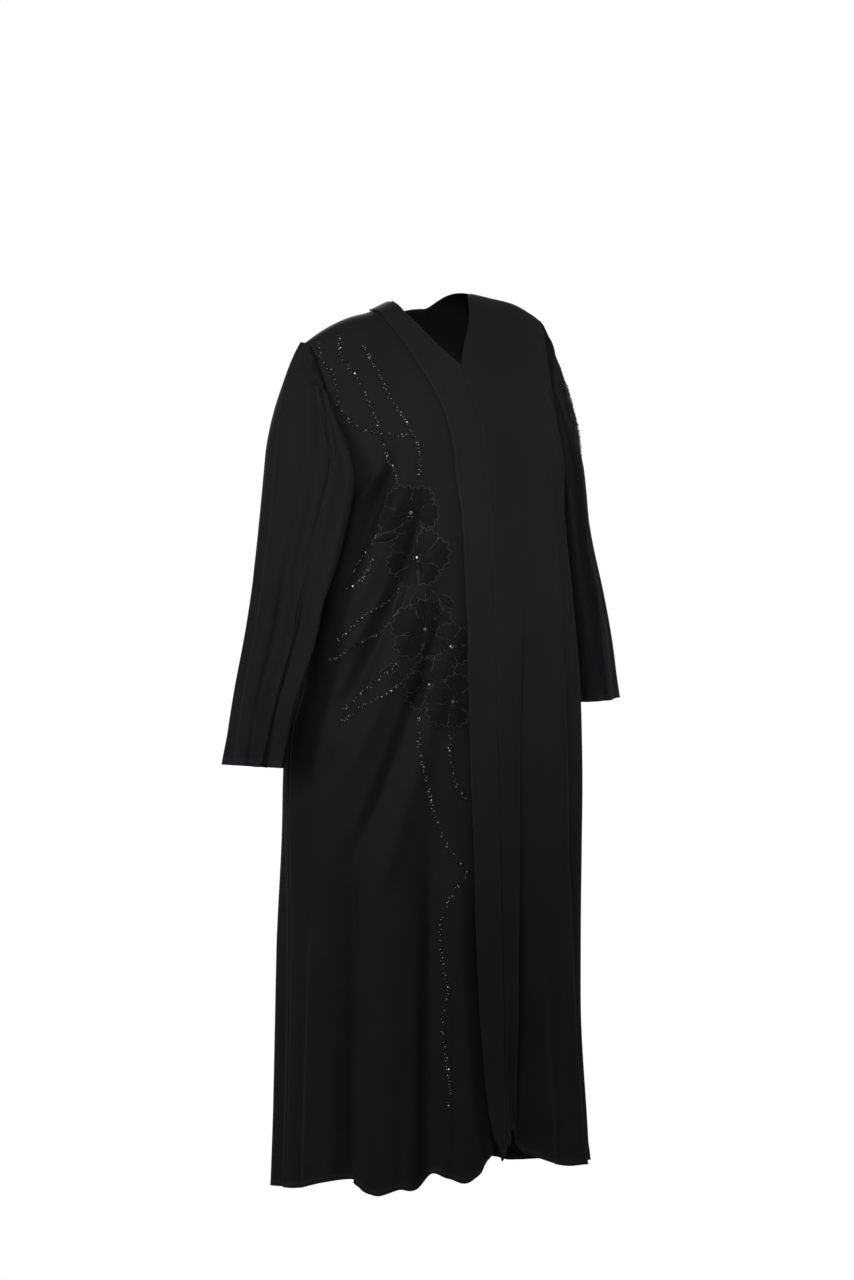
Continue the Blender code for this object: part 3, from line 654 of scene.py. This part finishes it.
def make_crepe(name, dark, light, rough, grain):
    """Matt black crepe: a pebbled grain, cloudy dye, and a paler edge where the cloth is a single layer,
    painted light shining through it.
    """
    material, tree, shader, place, cloud, colour = make_dyed(name, 13.0, 3.0, dark, light)
    pebble = add_noise(tree, place, 640.0, 3.0, 0.65)
    fine = add_noise(tree, place, 2100.0, 2.0)
    colour = add_mix(tree, add_range(tree, pebble, 0.0, 0.10), colour, CREPE_SPECK_AND_BACKLIGHT)
    # Painted light: the single layer at the hems and cuffs is painted paler, as if lit through from behind.
    painted_backlight = tree.nodes.new("ShaderNodeAttribute")
    painted_backlight.attribute_name = "painted_backlight"
    colour = add_mix(tree, painted_backlight.outputs["Fac"], colour, CREPE_SPECK_AND_BACKLIGHT)
    set_inputs(tree, shader, {
        "Base Color": colour,
        "Roughness": add_range(tree, cloud, rough - 0.05, rough + 0.05),
        "Specular IOR Level": 0.07,
        "Sheen Weight": 0.012,
        "Sheen Roughness": 0.45,
        "Sheen Tint": (0.72, 0.74, 0.80, 1.0),
        "Normal": add_bump(tree, fine, grain, 0.0002, Normal=add_bump(tree, pebble, grain, 0.0005)),
    })
    return material


def make_thread(name, dark, light, rough, shine):
    """Twisted embroidery thread."""
    material, tree, shader, place, _, colour = make_dyed(name, 160.0, 2.0, dark, light)
    twist = add_noise(tree, place, 2600.0, 2.0)
    set_inputs(tree, shader, {
        "Base Color": colour,
        "Roughness": add_range(tree, twist, rough - 0.08, rough + 0.08),
        "Specular IOR Level": shine,
        "Sheen Weight": 0.02,
        "Normal": add_bump(tree, twist, 0.5, 0.0003),
    })
    return material


def make_glass(name, dark, light, rough, metallic):
    """Glossy cut beads and stones."""
    material, tree, shader, _, cloud, colour = make_dyed(name, 420.0, 1.0, dark, light)
    set_inputs(tree, shader, {
        "Base Color": colour,
        "Roughness": add_range(tree, cloud, rough, rough + 0.08),
        "Metallic": metallic,
        "Coat Weight": 0.45,
        "Coat Roughness": 0.04,
    })
    return material


crepe = make_crepe("crepe", CREPE_DARK, CREPE_LIGHT, 0.76, 0.30)
band_crepe = make_crepe("band_crepe", (0.0060, 0.0062, 0.0068), (0.0078, 0.0080, 0.0089), 0.72, 0.22)
petal_cloth = make_thread("petal_satin", (0.0034, 0.0036, 0.0041), (0.0056, 0.0058, 0.0065), 0.66, 0.05)
thread = make_thread("thread", (0.016, 0.017, 0.019), (0.036, 0.037, 0.042), 0.50, 0.30)
edge_thread = make_thread("edge_thread", (0.0030, 0.0030, 0.0034), (0.0070, 0.0070, 0.0078), 0.60, 0.15)
black_bead = make_glass("black_bead", (0.002, 0.002, 0.003), (0.006, 0.006, 0.007), 0.10, 0.0)
crystal = make_glass("crystal", (0.04, 0.04, 0.05), (0.26, 0.265, 0.28), 0.06, 0.6)


def finish_cloth(piece, node, extras=()):
    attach(piece, "root")
    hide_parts(node)


def make_cord(name, edge, normals, closed=False):
    """The rolled edge along a row of the cloth's outer face."""
    path = edge - normals * CLOTH / 2
    piece = make_mesh(name, [make_tube(path, normals, CORD_RADIUS, closed=closed)], edge_thread)
    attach(piece, "root")
    return piece


def draw_back(edge, neighbour):
    edge += unit(neighbour - edge) * DRAWN_GAP


def panel_points(angle, down, lift, seams):
    """A panel's outer face, turned in and drawn back by a hair at its seams, and its hem before that."""
    normals = body_normal(angle, down)
    points = body_point(angle, down) + lift[..., None] * normals
    hem = (points[0].copy(), normals[0])
    for column in seams:
        points[:, column] -= SEAM_DIP * normals[:, column]
        draw_back(points[:, column], points[:, 1 if column == 0 else -2])
    draw_back(points[-1], points[-2])
    return points, hem


def make_panel(node, angle, down, lift, seams):
    points, hem = panel_points(angle, down, lift, seams)
    drop, _ = down_to_drop(down)
    # The hem's single layer is painted paler, as light shining through it.
    painted_backlight = BACKLIGHT_SHARE * smooth(1 - (hem_drop(angle) - drop) / BACKLIGHT_EDGE)
    piece = make_shell(node + "_cloth", points, crepe, CLOTH, painted_backlight)
    finish_cloth(piece, node, [make_cord(node + "_hem", *hem)])


def make_front_right():
    side = side_rows(-1, "front_angle", BODY_STEPS)
    edge = front_rows(UNDER_EDGE, None, UNDER_EDGE_HEM_DROP, BODY_STEPS)
    angle, down = patch(*side, *edge, RIGHT_COLUMNS)
    make_panel("front_right", angle, down, np.zeros(down.shape), (0,))


def make_front_left():
    seam = front_rows(BAND_SEAM, SEAM_BELOW, BAND_SEAM_HEM_DROP, BODY_STEPS, NECK_POINT_ROW)
    angle, down = patch(*seam, *side_rows(1, "front_angle", BODY_STEPS), LEFT_COLUMNS)
    make_panel("front_left", angle, down, left_lift(angle, down), (0, -1))


def make_front_band():
    """The strip from the right shoulder round the neckline's point and down the closure."""
    steps = steps_of(BAND_INNER["drop"], CELL)
    seam = front_rows(BAND_INNER, SEAM_BELOW, BAND_SEAM_HEM_DROP, steps, NECK_POINT_ROW)
    free = front_rows(BAND_FREE, EDGE_BELOW, BAND_CORNER_DROP, steps)
    angle, down = patch(*free, *seam, BAND_COLUMNS, BAND_CORNER_DROP)
    drop, _ = down_to_drop(down)
    to_edge = np.linspace(1, 0, BAND_COLUMNS + 1)[None, :]
    opening = smooth((drop - BAND_OPENS_AT) / BAND_OPENS_OVER) * BAND_OPEN_LIFT * to_edge
    lift = BAND_LIFT * smooth(drop / LIFT_GROWS_OVER + LIFT_AT_RIDGE) + opening
    lift[:, 0] -= FREE_EDGE_DIP
    lift[:, -1] = left_lift(angle, down)[:, -1]
    points, _ = panel_points(angle, down, lift, (-1,))
    piece = make_shell("front_band_cloth", points, band_crepe, BAND_THICKNESS)
    finish_cloth(piece, "front_band")


def make_back():
    right_angle, right_drop = side_rows(-1, "back_angle", BODY_STEPS)
    left = side_rows(1, "back_angle", BODY_STEPS)
    angle, down = patch(*left, right_angle + 360.0, right_drop, BACK_COLUMNS)
    inside_neck = 1 - np.abs(angle[-1] - BACK_NECK_MIDDLE) / BACK_NECK_HALF
    dip = drop_to_down(BACK_NECK_DROP) * smooth(inside_neck * BACK_NECK_STEEPNESS)
    down[SKIRT_ROWS:] += dip[None, :] * (BODY_STEPS / BODICE_ROWS)[:, None]
    make_panel("back", angle, down, np.zeros(down.shape), (0, -1))


def armhole_loop(side):
    """Points round the armhole from the shoulder, down the front and up the back, and the angle round the
    sleeve of each."""
    steps = steps_of(ARMHOLE["drop"], SLEEVE_CELL)
    front_angle, front_drop = side_rows(side, "front_angle", steps)
    back_angle, back_drop = side_rows(side, "back_angle", steps)
    top = slice(SKIRT_ROWS, None)
    angle = np.concatenate([front_angle[top][::-1], back_angle[top][1:-1]])
    down = drop_to_down(np.concatenate([front_drop[top][::-1], back_drop[top][1:-1]]))
    place = np.concatenate([BODICE_ROWS - steps[::-1], BODICE_ROWS + steps[1:-1]])
    points, normals = body_point(angle, down), body_normal(angle, down)
    if side > 0:
        points = points + left_lift(angle, down)[:, None] * normals
    along = np.roll(points, -1, axis=0) - np.roll(points, 1, axis=0)
    outward = unit(np.cross(unit(along), normals)) * -side
    return points + outward * SEAM_GAP, place * 180.0 / BODICE_ROWS


def clear_of_body(points, along):
    """Moves points of a sleeve out to where they clear the body's outer face."""
    drop = -points[..., 2] + ridge_height(points[..., 0]) * np.exp(points[..., 2] / RIDGE_FADE)
    shift = section("shift", drop)
    angle = np.degrees(np.arctan2(points[..., 0] - shift, -points[..., 1]))
    _, reached = down_to_drop(drop_to_down(np.maximum(drop, 0)))
    radius = folded_radius(angle, drop) + BODY_CLEARANCE * smooth(along / CLEARANCE_FULL_AT)
    turn = np.radians(angle)
    body_r = np.hypot(radius * np.sin(turn), radius * np.cos(turn) * reached)
    own_r = np.hypot(points[..., 0] - shift, points[..., 1])
    below_shoulder = smooth((drop - CLEAR_BELOW) / CLEAR_GROWS_OVER)
    scale = 1.0 + (np.maximum(1.0, body_r / own_r) - 1.0) * below_shoulder
    moved = points.copy()
    moved[..., 0] = shift + (points[..., 0] - shift) * scale
    moved[..., 1] = points[..., 1] * scale
    return moved


def fold_sum(around, along, rows):
    """How far a sleeve's folds of one table stand out together."""
    total = 0.0
    for start_angle, start_along, end_angle, end_along, reach, height in rows:
        share = (along - start_along) / (end_along - start_along)
        away = wrapped(around - (start_angle + (end_angle - start_angle) * share)) / reach
        ends = smooth(share / SLEEVE_FOLD_GROWS) * smooth((1 - share) / SLEEVE_FOLD_FADES)
        total = total + height * MM * ends * smooth(along / SLEEVE_FOLDS_FULL_AT) * np.exp(-away * away)
    return total


def sleeve_relief(around, along):
    """How far the folds and cuff waves of a sleeve stand out."""
    total = SLEEVE_UNEVEN * np.sin(11.0 * along + 0.11 * around) + fold_sum(around, along, SLEEVE_FOLDS)
    near = smooth(1 - (1 - along) / CUFF_WAVES_FADE)
    return total + near * waves(CUFF_WAVES, np.radians(around))


def sleeve_creases(side, around, arc, along):
    """How far the gathers and creases stand out, none on the side that lies against the body."""
    share = LEFT_GATHER_SHARE if side > 0 else 1.0
    total = fold_sum(around, along, SLEEVE_CREASES if side > 0 else SLEEVE_CREASES + RIGHT_SLEEVE_VALLEYS)
    for place, reach_down, height in HEAD_GATHERS:
        head = smooth(along / GATHERS_START_OVER) * smooth((reach_down - along) / reach_down)
        total = total + share * height * MM * head * np.exp(-((arc - place) / HEAD_GATHER_REACH) ** 2)
    return total * smooth((CREASES_END - np.abs(wrapped(around))) / CREASES_FADE)


def grid_normals(points, side):
    down = np.gradient(points, axis=0)
    round_it = np.roll(points, -1, axis=1) - np.roll(points, 1, axis=1)
    return unit(np.cross(down, round_it)) * -side


def sleeve_grid(side, table):
    """Points of a sleeve's outer face: rings from the armhole to the cuff, columns round it."""
    head, around = armhole_loop(side)
    lengths = np.linalg.norm(np.roll(head, -1, axis=0) - head, axis=1)
    arc = np.concatenate([[0.0], np.cumsum(lengths)[:-1]])
    arc = np.where(around > 180.0, arc - lengths.sum(), arc)
    turn = np.radians(around)
    places = np.linspace(0, 1, len(table))
    rings = [head]
    for along in RING_PLACES[1:]:
        values = (float(curve(places, column, along)) * MM for column in zip(*table))
        row = dict(zip(SLEEVE_COLUMNS, values))
        middle_x = (row["outer_x"] + row["inner_x"]) / 2
        x = middle_x + (row["outer_x"] - middle_x) * np.cos(turn)
        x = x + (row["front_x"] - middle_x) * np.maximum(np.sin(turn), 0)
        x = x + (row["back_x"] - middle_x) * np.maximum(-np.sin(turn), 0)
        y = np.where(np.sin(turn) > 0, row["front_y"], -row["back_y"]) * np.sin(turn)
        z = (row["outer_z"] + row["inner_z"]) / 2 + (row["outer_z"] - row["inner_z"]) / 2 * np.cos(turn)
        blend = smooth(along / ARMHOLE_BLEND)
        ring = head * (1 - blend) + np.stack([x, y, z], axis=-1) * blend
        outward = unit(ring - ring.mean(axis=0))
        rings.append(clear_of_body(ring + outward * sleeve_relief(around, along)[:, None], along))
    points = np.stack(rings)
    alongs = RING_PLACES[:, None]
    creases = sleeve_creases(side, around[None], arc[None], alongs)
    points = points + grid_normals(points, side) * creases[..., None]
    points[1:] = clear_of_body(points[1:], alongs[1:])
    return points, around


def make_sleeve(name, side, table):
    points, around = sleeve_grid(side, table)
    normals = grid_normals(points, side)
    # The cuff's single layer is painted paler, as light shining through it.
    painted_backlight = BACKLIGHT_SHARE * smooth(1 - (1 - RING_PLACES[::-1]) / BACKLIGHT_CUFF)
    painted_backlight = np.repeat(painted_backlight[:, None], points.shape[1], axis=1)
    rows = points[::-1, ::-1] if side > 0 else points[::-1]
    piece = make_shell(name + "_cloth", rows, crepe, CLOTH, painted_backlight, closed=True)
    cord = make_cord(name + "_cuff", points[-1], normals[-1], closed=True)
    finish_cloth(piece, name, [cord])
    return points, normals, around


# Embroidery. Strings of beads run over the right front, by (angle, drop in mm).
BEAD_STRINGS = (
    ((-70, 10), (-71, 42), (-67, 80), (-66, 134), (-62, 162), (-57, 180), (-50, 193), (-36, 206)),
    ((-61, 20), (-62, 54), (-58, 92), (-54, 130), (-50, 172), (-48, 206), (-46, 240), (-42, 278)),
    ((-52, 50), (-49, 86), (-46, 116), (-43, 144), (-39, 170), (-35, 196), (-32, 230), (-32, 268)),
    ((-49, 344), (-55, 370), (-60, 384), (-65, 404)),
    ((-52, 382), (-57, 414), (-61, 420), (-66, 430)),
    ((-43, 436), (-51, 460), (-58, 474), (-63, 492), (-68, 504)),
    ((-42, 468), (-50, 494), (-58, 510), (-65, 526), (-72, 536)),
    ((-41, 546), (-50, 570), (-58, 592), (-66, 614)),
    ((-40, 574), (-47, 594), (-55, 606), (-66, 634)),
    ((-33, 630), (-32, 680), (-29, 728), (-26, 768), (-21, 810), (-15, 844), (-9, 868)),
    ((-9, 868), (-16, 896), (-21, 942), (-20, 1004), (-18, 1036), (-20, 1072), (-20, 1106),
     (-19, 1136), (-18, 1166), (-18, 1194), (-19, 1214)),
    ((-18, 660), (-18, 696), (-16, 722), (-13, 746), (-8, 762)),
)
# Strings of beads on the left sleeve's upper side: first and last ring, first and last angle round it.
SLEEVE_STRINGS = (
    (28, 40, 44, 66),
    (34, 50, 36, 62),
    (44, 62, 40, 58),
)
STRING_SPACING = 0.0044
BEAD_SIZES = (0.0013, 0.0018)
SMALL_BEAD_SIZES = (0.0010, 0.0014)
BEAD_ASIDE = 0.0013
SMALL_BEAD_ASIDE = 0.0027
SPINS = (0, 6.28)
# Flowers: angle, drop, size, petals, turn (degrees), and the size of the stone in the middle.
FLOWERS = (
    (-37, 0.322, 0.044, 5, 20, 0.0030),
    (-34, 0.392, 0.047, 6, 55, 0.0024),
    (-31, 0.500, 0.047, 5, -10, 0.0028),
    (-18, 0.530, 0.034, 5, 40, 0.0032),
    (-28, 0.584, 0.042, 6, 15, 0.0024),
    (-17, 0.612, 0.040, 5, 70, 0.0028),
)
STITCHES = 26
MIDDLE_BEADS = 9
MIDDLE_RADIUS = 0.0062
PETAL_START = 0.006
RIM_RADIUS = 0.00042
STITCH_RADIUS = 0.00045
# Leaves: angle and drop of the stalk, direction (0 to the wearer's left, 90 down), length and width.
LEAVES = (
    (-40, 0.440, 118, 0.042, 0.016),
    (-30, 0.440, 62, 0.046, 0.017),
    (-35, 0.446, 88, 0.040, 0.015),
    (-24, 0.452, 40, 0.036, 0.014),
    (-42, 0.352, 168, 0.036, 0.014),
    (-41, 0.548, 150, 0.036, 0.013),
    (-24, 0.566, 20, 0.030, 0.012),
)
LEAF_EDGE_RADIUS = 0.0004
LEAF_VEIN_RADIUS = 0.0005


def on_cloth(middle, across, below, lift):
    """Points and normals on the right front, from places across and below a middle (angle, drop)."""
    angle, drop = middle
    radius = float(body_radius(np.array(float(angle)), np.array(float(drop))))
    angles = angle + np.degrees(np.asarray(across) / radius)
    downs = drop_to_down(drop) + np.asarray(below)
    normals = body_normal(angles, downs)
    return body_point(angles, downs) + np.asarray(lift)[..., None] * normals, normals


def bead_shape(subdivisions):
    ball = bmesh.new()
    bmesh.ops.create_icosphere(ball, subdivisions=subdivisions, radius=1.0)
    points = np.array([vertex.co[:] for vertex in ball.verts])
    faces = [[vertex.index for vertex in face.verts] for face in ball.faces]
    ball.free()
    return points, faces


def stone_shape(sides=8):
    """A cut stone: a flat table, a sloping crown and a short girdle."""
    rings = ((0.55, 0.62), (0.92, 0.22), (1.0, 0.0), (0.9, -0.25))
    turn = np.arange(sides) * 2 * np.pi / sides
    points = [[r * np.cos(a + level * 0.2), r * np.sin(a + level * 0.2), h]
              for level, (r, h) in enumerate(rings) for a in turn]
    faces = [list(range(sides)), [3 * sides + side for side in reversed(range(sides))]]
    for level in range(3):
        above, below = level * sides, (level + 1) * sides
        for side in range(sides):
            other = (side + 1) % sides
            faces.append([below + side, below + other, above + other, above + side])
    return np.array(points), faces


ROUND_BEAD = bead_shape(2)
SMALL_BEAD = bead_shape(1)
STONE = stone_shape()


def place_shape(shape, at, normal, size, spin, squash=1.0):
    points, faces = shape
    helper = np.array([0.0, 0.0, 1.0]) if abs(normal[2]) < 0.9 else np.array([1.0, 0.0, 0.0])
    first = unit(np.cross(normal, helper))
    second = np.cross(normal, first)
    turned = np.cos(spin) * first + np.sin(spin) * second
    other = np.cross(normal, turned)
    moved = points[:, :1] * turned + points[:, 1:2] * other + points[:, 2:] * normal * squash
    return at + moved * size, faces


def add_string(piles, path, normals):
    """Beads along a path: a larger one, then a small one beside it, with a bright stone now and then."""
    lengths = np.concatenate([[0.0], np.cumsum(np.linalg.norm(np.diff(path, axis=0), axis=1))])
    across = unit(np.cross(unit(np.gradient(path, axis=0)), normals))
    for number, place in enumerate(np.arange(STRING_SPACING / 2, lengths[-1], STRING_SPACING)):
        place = place + rng.uniform(-0.2, 0.2) * STRING_SPACING
        at, normal, sideways = (
            np.array([np.interp(place, lengths, rows[:, axis]) for axis in range(3)])
            for rows in (path, normals, across)
        )
        normal = unit(normal)
        to_side = (-1) ** number
        size = rng.uniform(*BEAD_SIZES)
        at = at + sideways * (BEAD_ASIDE * to_side + rng.uniform(-0.0007, 0.0007))
        tilted = unit(normal + 0.35 * rng.normal(size=3))
        pile, shape = (piles["stones"], STONE) if number % 4 == 1 else (piles["beads"], ROUND_BEAD)
        pile.append(place_shape(shape, at + normal * size * 0.7, tilted, size, rng.uniform(*SPINS), 0.9))
        beside = at - sideways * SMALL_BEAD_ASIDE * to_side * rng.uniform(0.8, 1.2) + normal * 0.0006
        small_size = rng.uniform(*SMALL_BEAD_SIZES)
        piles["beads"].append(place_shape(SMALL_BEAD, beside, normal, small_size, rng.uniform(*SPINS)))


def smooth_path(rows, count):
    places = np.arange(len(rows))
    at = np.linspace(0, len(rows) - 1, count)
    return (curve(places, column, at) for column in zip(*rows))


def add_petal(piles, points):
    piles["petals"].append((points.reshape(-1, 3), grid_faces(points)[:, ::-1].tolist()))


def add_flower(piles, angle, drop, size, petals, turn, stone, level):
    """Overlapping raised petals with scalloped edges, stitches out from the middle, and a stone."""
    middle = (angle, drop)
    for petal in range(petals):
        facing = np.radians(turn) + 2 * np.pi * petal / petals + rng.uniform(-0.08, 0.08)
        reach = size * rng.uniform(0.90, 1.06)
        half = np.pi / petals * rng.uniform(1.08, 1.22)
        out, over = np.meshgrid(np.linspace(0, 1, 12), np.linspace(-1, 1, 19), indexing="ij")
        scallops = 0.065 * np.cos(rng.uniform(4.4, 5.8) * np.pi * over + rng.uniform(-0.6, 0.6))
        edge = reach * (1 - 0.20 * np.abs(over) ** 2.4 + scallops)
        distance = PETAL_START + (edge - PETAL_START) * out
        way = facing + over * half * (0.45 + 0.55 * out ** 0.7)
        lift = 0.0006 + 0.0007 * (petal % 2) + 0.0004 * level
        dome = 0.0015 * np.sin(np.pi * out ** 0.8) * (1 - 0.7 * over ** 2)
        pleats = 0.0005 * np.cos(9 * np.pi * over) * out * (1 - out * 0.4)
        across, below = distance * np.cos(way), distance * np.sin(way)
        points, normals = on_cloth(middle, across, below, lift + dome + pleats)
        add_petal(piles, points)
        rim, rim_normals = (
            np.concatenate([grid[5:, 0], grid[-1, 1:-1], grid[5:, -1][::-1]]) for grid in (points, normals)
        )
        piles["thread"].append(make_tube(rim + rim_normals * 0.0002, rim_normals, RIM_RADIUS, 5))
    for stitch in range(STITCHES):
        way = 2 * np.pi * (stitch + rng.uniform(-0.3, 0.3)) / STITCHES
        along = np.linspace(0.16 * size, size * rng.uniform(0.34, 0.62), 6)
        lift = np.full(len(along), 0.0023 + 0.0004 * level)
        path, normals = on_cloth(middle, along * np.cos(way), along * np.sin(way), lift)
        piles["dark"].append(make_tube(path, normals, STITCH_RADIUS, 5))
    for bead in range(MIDDLE_BEADS):
        way = 2 * np.pi * bead / MIDDLE_BEADS
        across, below = MIDDLE_RADIUS * np.cos(way), MIDDLE_RADIUS * np.sin(way)
        at, normal = on_cloth(middle, [across], [below], np.array([0.0022]))
        piles["beads"].append(place_shape(ROUND_BEAD, at[0], normal[0], BEAD_SIZES[0], way))
    at, normal = on_cloth(middle, [0.0], [0.0], np.array([0.0030]))
    piles["stones"].append(place_shape(STONE, at[0], normal[0], stone, 0.3, 0.8))


def add_leaf(piles, angle, drop, direction, length, width):
    """A raised leaf with thread along both edges and down the middle."""
    way = np.radians(direction)
    out, over = np.meshgrid(np.linspace(0, 1, 12), np.linspace(-1, 1, 9), indexing="ij")
    breadth = width / 2 * np.sin(np.pi * out ** 0.8) * (1 + 0.10 * np.cos(14 * np.pi * out))
    along, aside = out * length, over * breadth
    across = along * np.cos(way) - aside * np.sin(way)
    below = along * np.sin(way) + aside * np.cos(way)
    points, normals = on_cloth((angle, drop), across, below, 0.0008 + 0.0014 * (1 - np.abs(over)))
    add_petal(piles, points)
    for column in (0, -1):
        piles["thread"].append(make_tube(points[1:-1, column], normals[1:-1, column], LEAF_EDGE_RADIUS, 5))
    piles["dark"].append(make_tube(points[:, 4], normals[:, 4], LEAF_VEIN_RADIUS, 5))


def add_sleeve_string(piles, sleeve, ring_start, ring_end, turn_start, turn_end):
    points, normals, around = sleeve
    rings = np.linspace(ring_start, ring_end, 30)
    turns = np.linspace(turn_start, turn_end, 30)
    near = [(int(round(ring)), int(np.argmin(np.abs(around - turn)))) for ring, turn in zip(rings, turns)]
    near = list(dict.fromkeys(near))
    add_string(piles, *(np.array([grid[place] for place in near]) for grid in (points, normals)))


def make_embroidery(sleeve):
    piles = {"petals": [], "thread": [], "dark": [], "beads": [], "stones": []}
    for level, row in enumerate(FLOWERS):
        add_flower(piles, *row, level)
    for row in LEAVES:
        add_leaf(piles, *row)
    for rows in BEAD_STRINGS:
        angle, drop = smooth_path(rows, 24 * (len(rows) - 1))
        down = drop_to_down(drop * MM)
        add_string(piles, body_point(angle, down), body_normal(angle, down))
    for row in SLEEVE_STRINGS:
        add_sleeve_string(piles, sleeve, *row)
    for name, pile, material, slot, flat in (
        ("petals", "petals", petal_cloth, "thread", False),
        ("petal_edges", "thread", thread, "thread", False),
        ("petal_stitches", "dark", edge_thread, "thread", False),
        ("beads", "beads", black_bead, "crystal", True),
        ("stones", "stones", crystal, "crystal", True),
    ):
        piece = make_mesh(name, piles[pile], material, flat)
        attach(piece, "root")


make_back()
make_front_right()
make_front_left()
make_front_band()
make_sleeve("sleeve_right", -1, SLEEVE_RIGHT)
make_embroidery(make_sleeve("sleeve_left", 1, SLEEVE_LEFT))

# The studio: soft lights in a white room. Name, place, target, size, power in watts, spread in degrees.
LIGHTS = (
    ("key", (-1.05, -1.6, 0.75), (0.0, 0.0, -0.15), (0.8, 0.8), 25.0, 180.0),
    ("fill", (-2.3, -0.5, 0.20), (-0.2, 0.0, -0.30), (0.5, 0.9), 11.0, 120.0),
    ("rim", (2.0, -1.2, 0.50), (0.2, 0.0, -0.20), (0.4, 0.8), 7.0, 120.0),
    ("far_sleeve", (-1.05, -2.85, 0.20), (0.30, -0.08, -0.42), (0.3, 0.3), 0.90, 22.0),
    ("back", (0.6, 2.6, 1.20), (0.0, 0.0, -0.40), (1.4, 1.4), 30.0, 120.0),
)
ROOM_SEEN = 1.0
ROOM_LIT = 0.28


def add_area(name, place, target, size, power, spread):
    light = bpy.data.lights.new(name, "AREA")
    light.shape = "RECTANGLE"
    light.size, light.size_y = size
    light.energy = power
    light.spread = np.radians(spread)
    lamp = bpy.data.objects.new(name, light)
    lamp.location = place
    lamp.rotation_euler = (Vector(target) - Vector(place)).to_track_quat("-Z", "Y").to_euler()
    bpy.context.scene.collection.objects.link(lamp)


def make_room():
    """A white room: plain white to the camera, and a weaker light on the cloth."""
    world = bpy.data.worlds.new("white_room")
    bpy.context.scene.world = world
    world.use_nodes = True
    tree = world.node_tree
    tree.nodes.clear()
    seen, lit = (
        add_node(tree, "ShaderNodeBackground", {"Color": (1.0, 1.0, 1.0, 1.0), "Strength": strength})
        for strength in (ROOM_SEEN, ROOM_LIT)
    )
    ray = tree.nodes.new("ShaderNodeLightPath").outputs["Is Camera Ray"]
    mix = add_node(tree, "ShaderNodeMixShader", {"Fac": ray})
    tree.links.new(lit.outputs["Background"], mix.inputs[1])
    tree.links.new(seen.outputs["Background"], mix.inputs[2])
    add_node(tree, "ShaderNodeOutputWorld", {"Surface": mix.outputs["Shader"]})


def make_camera():
    lens = bpy.data.cameras.new("camera")
    lens.lens = 71.66
    lens.sensor_width = 36.0
    lens.sensor_fit = "AUTO"
    lens.clip_end = 60.0
    camera = bpy.data.objects.new("camera", lens)
    camera.location = (-1.7535, -3.5952, -0.515)
    camera.rotation_euler = (np.radians(90.0), 0.0, np.radians(-26.0))
    bpy.context.scene.collection.objects.link(camera)
    bpy.context.scene.camera = camera


for row in LIGHTS:
    add_area(*row)
make_room()
make_camera()
bpy.context.scene.view_settings.view_transform = "Standard"
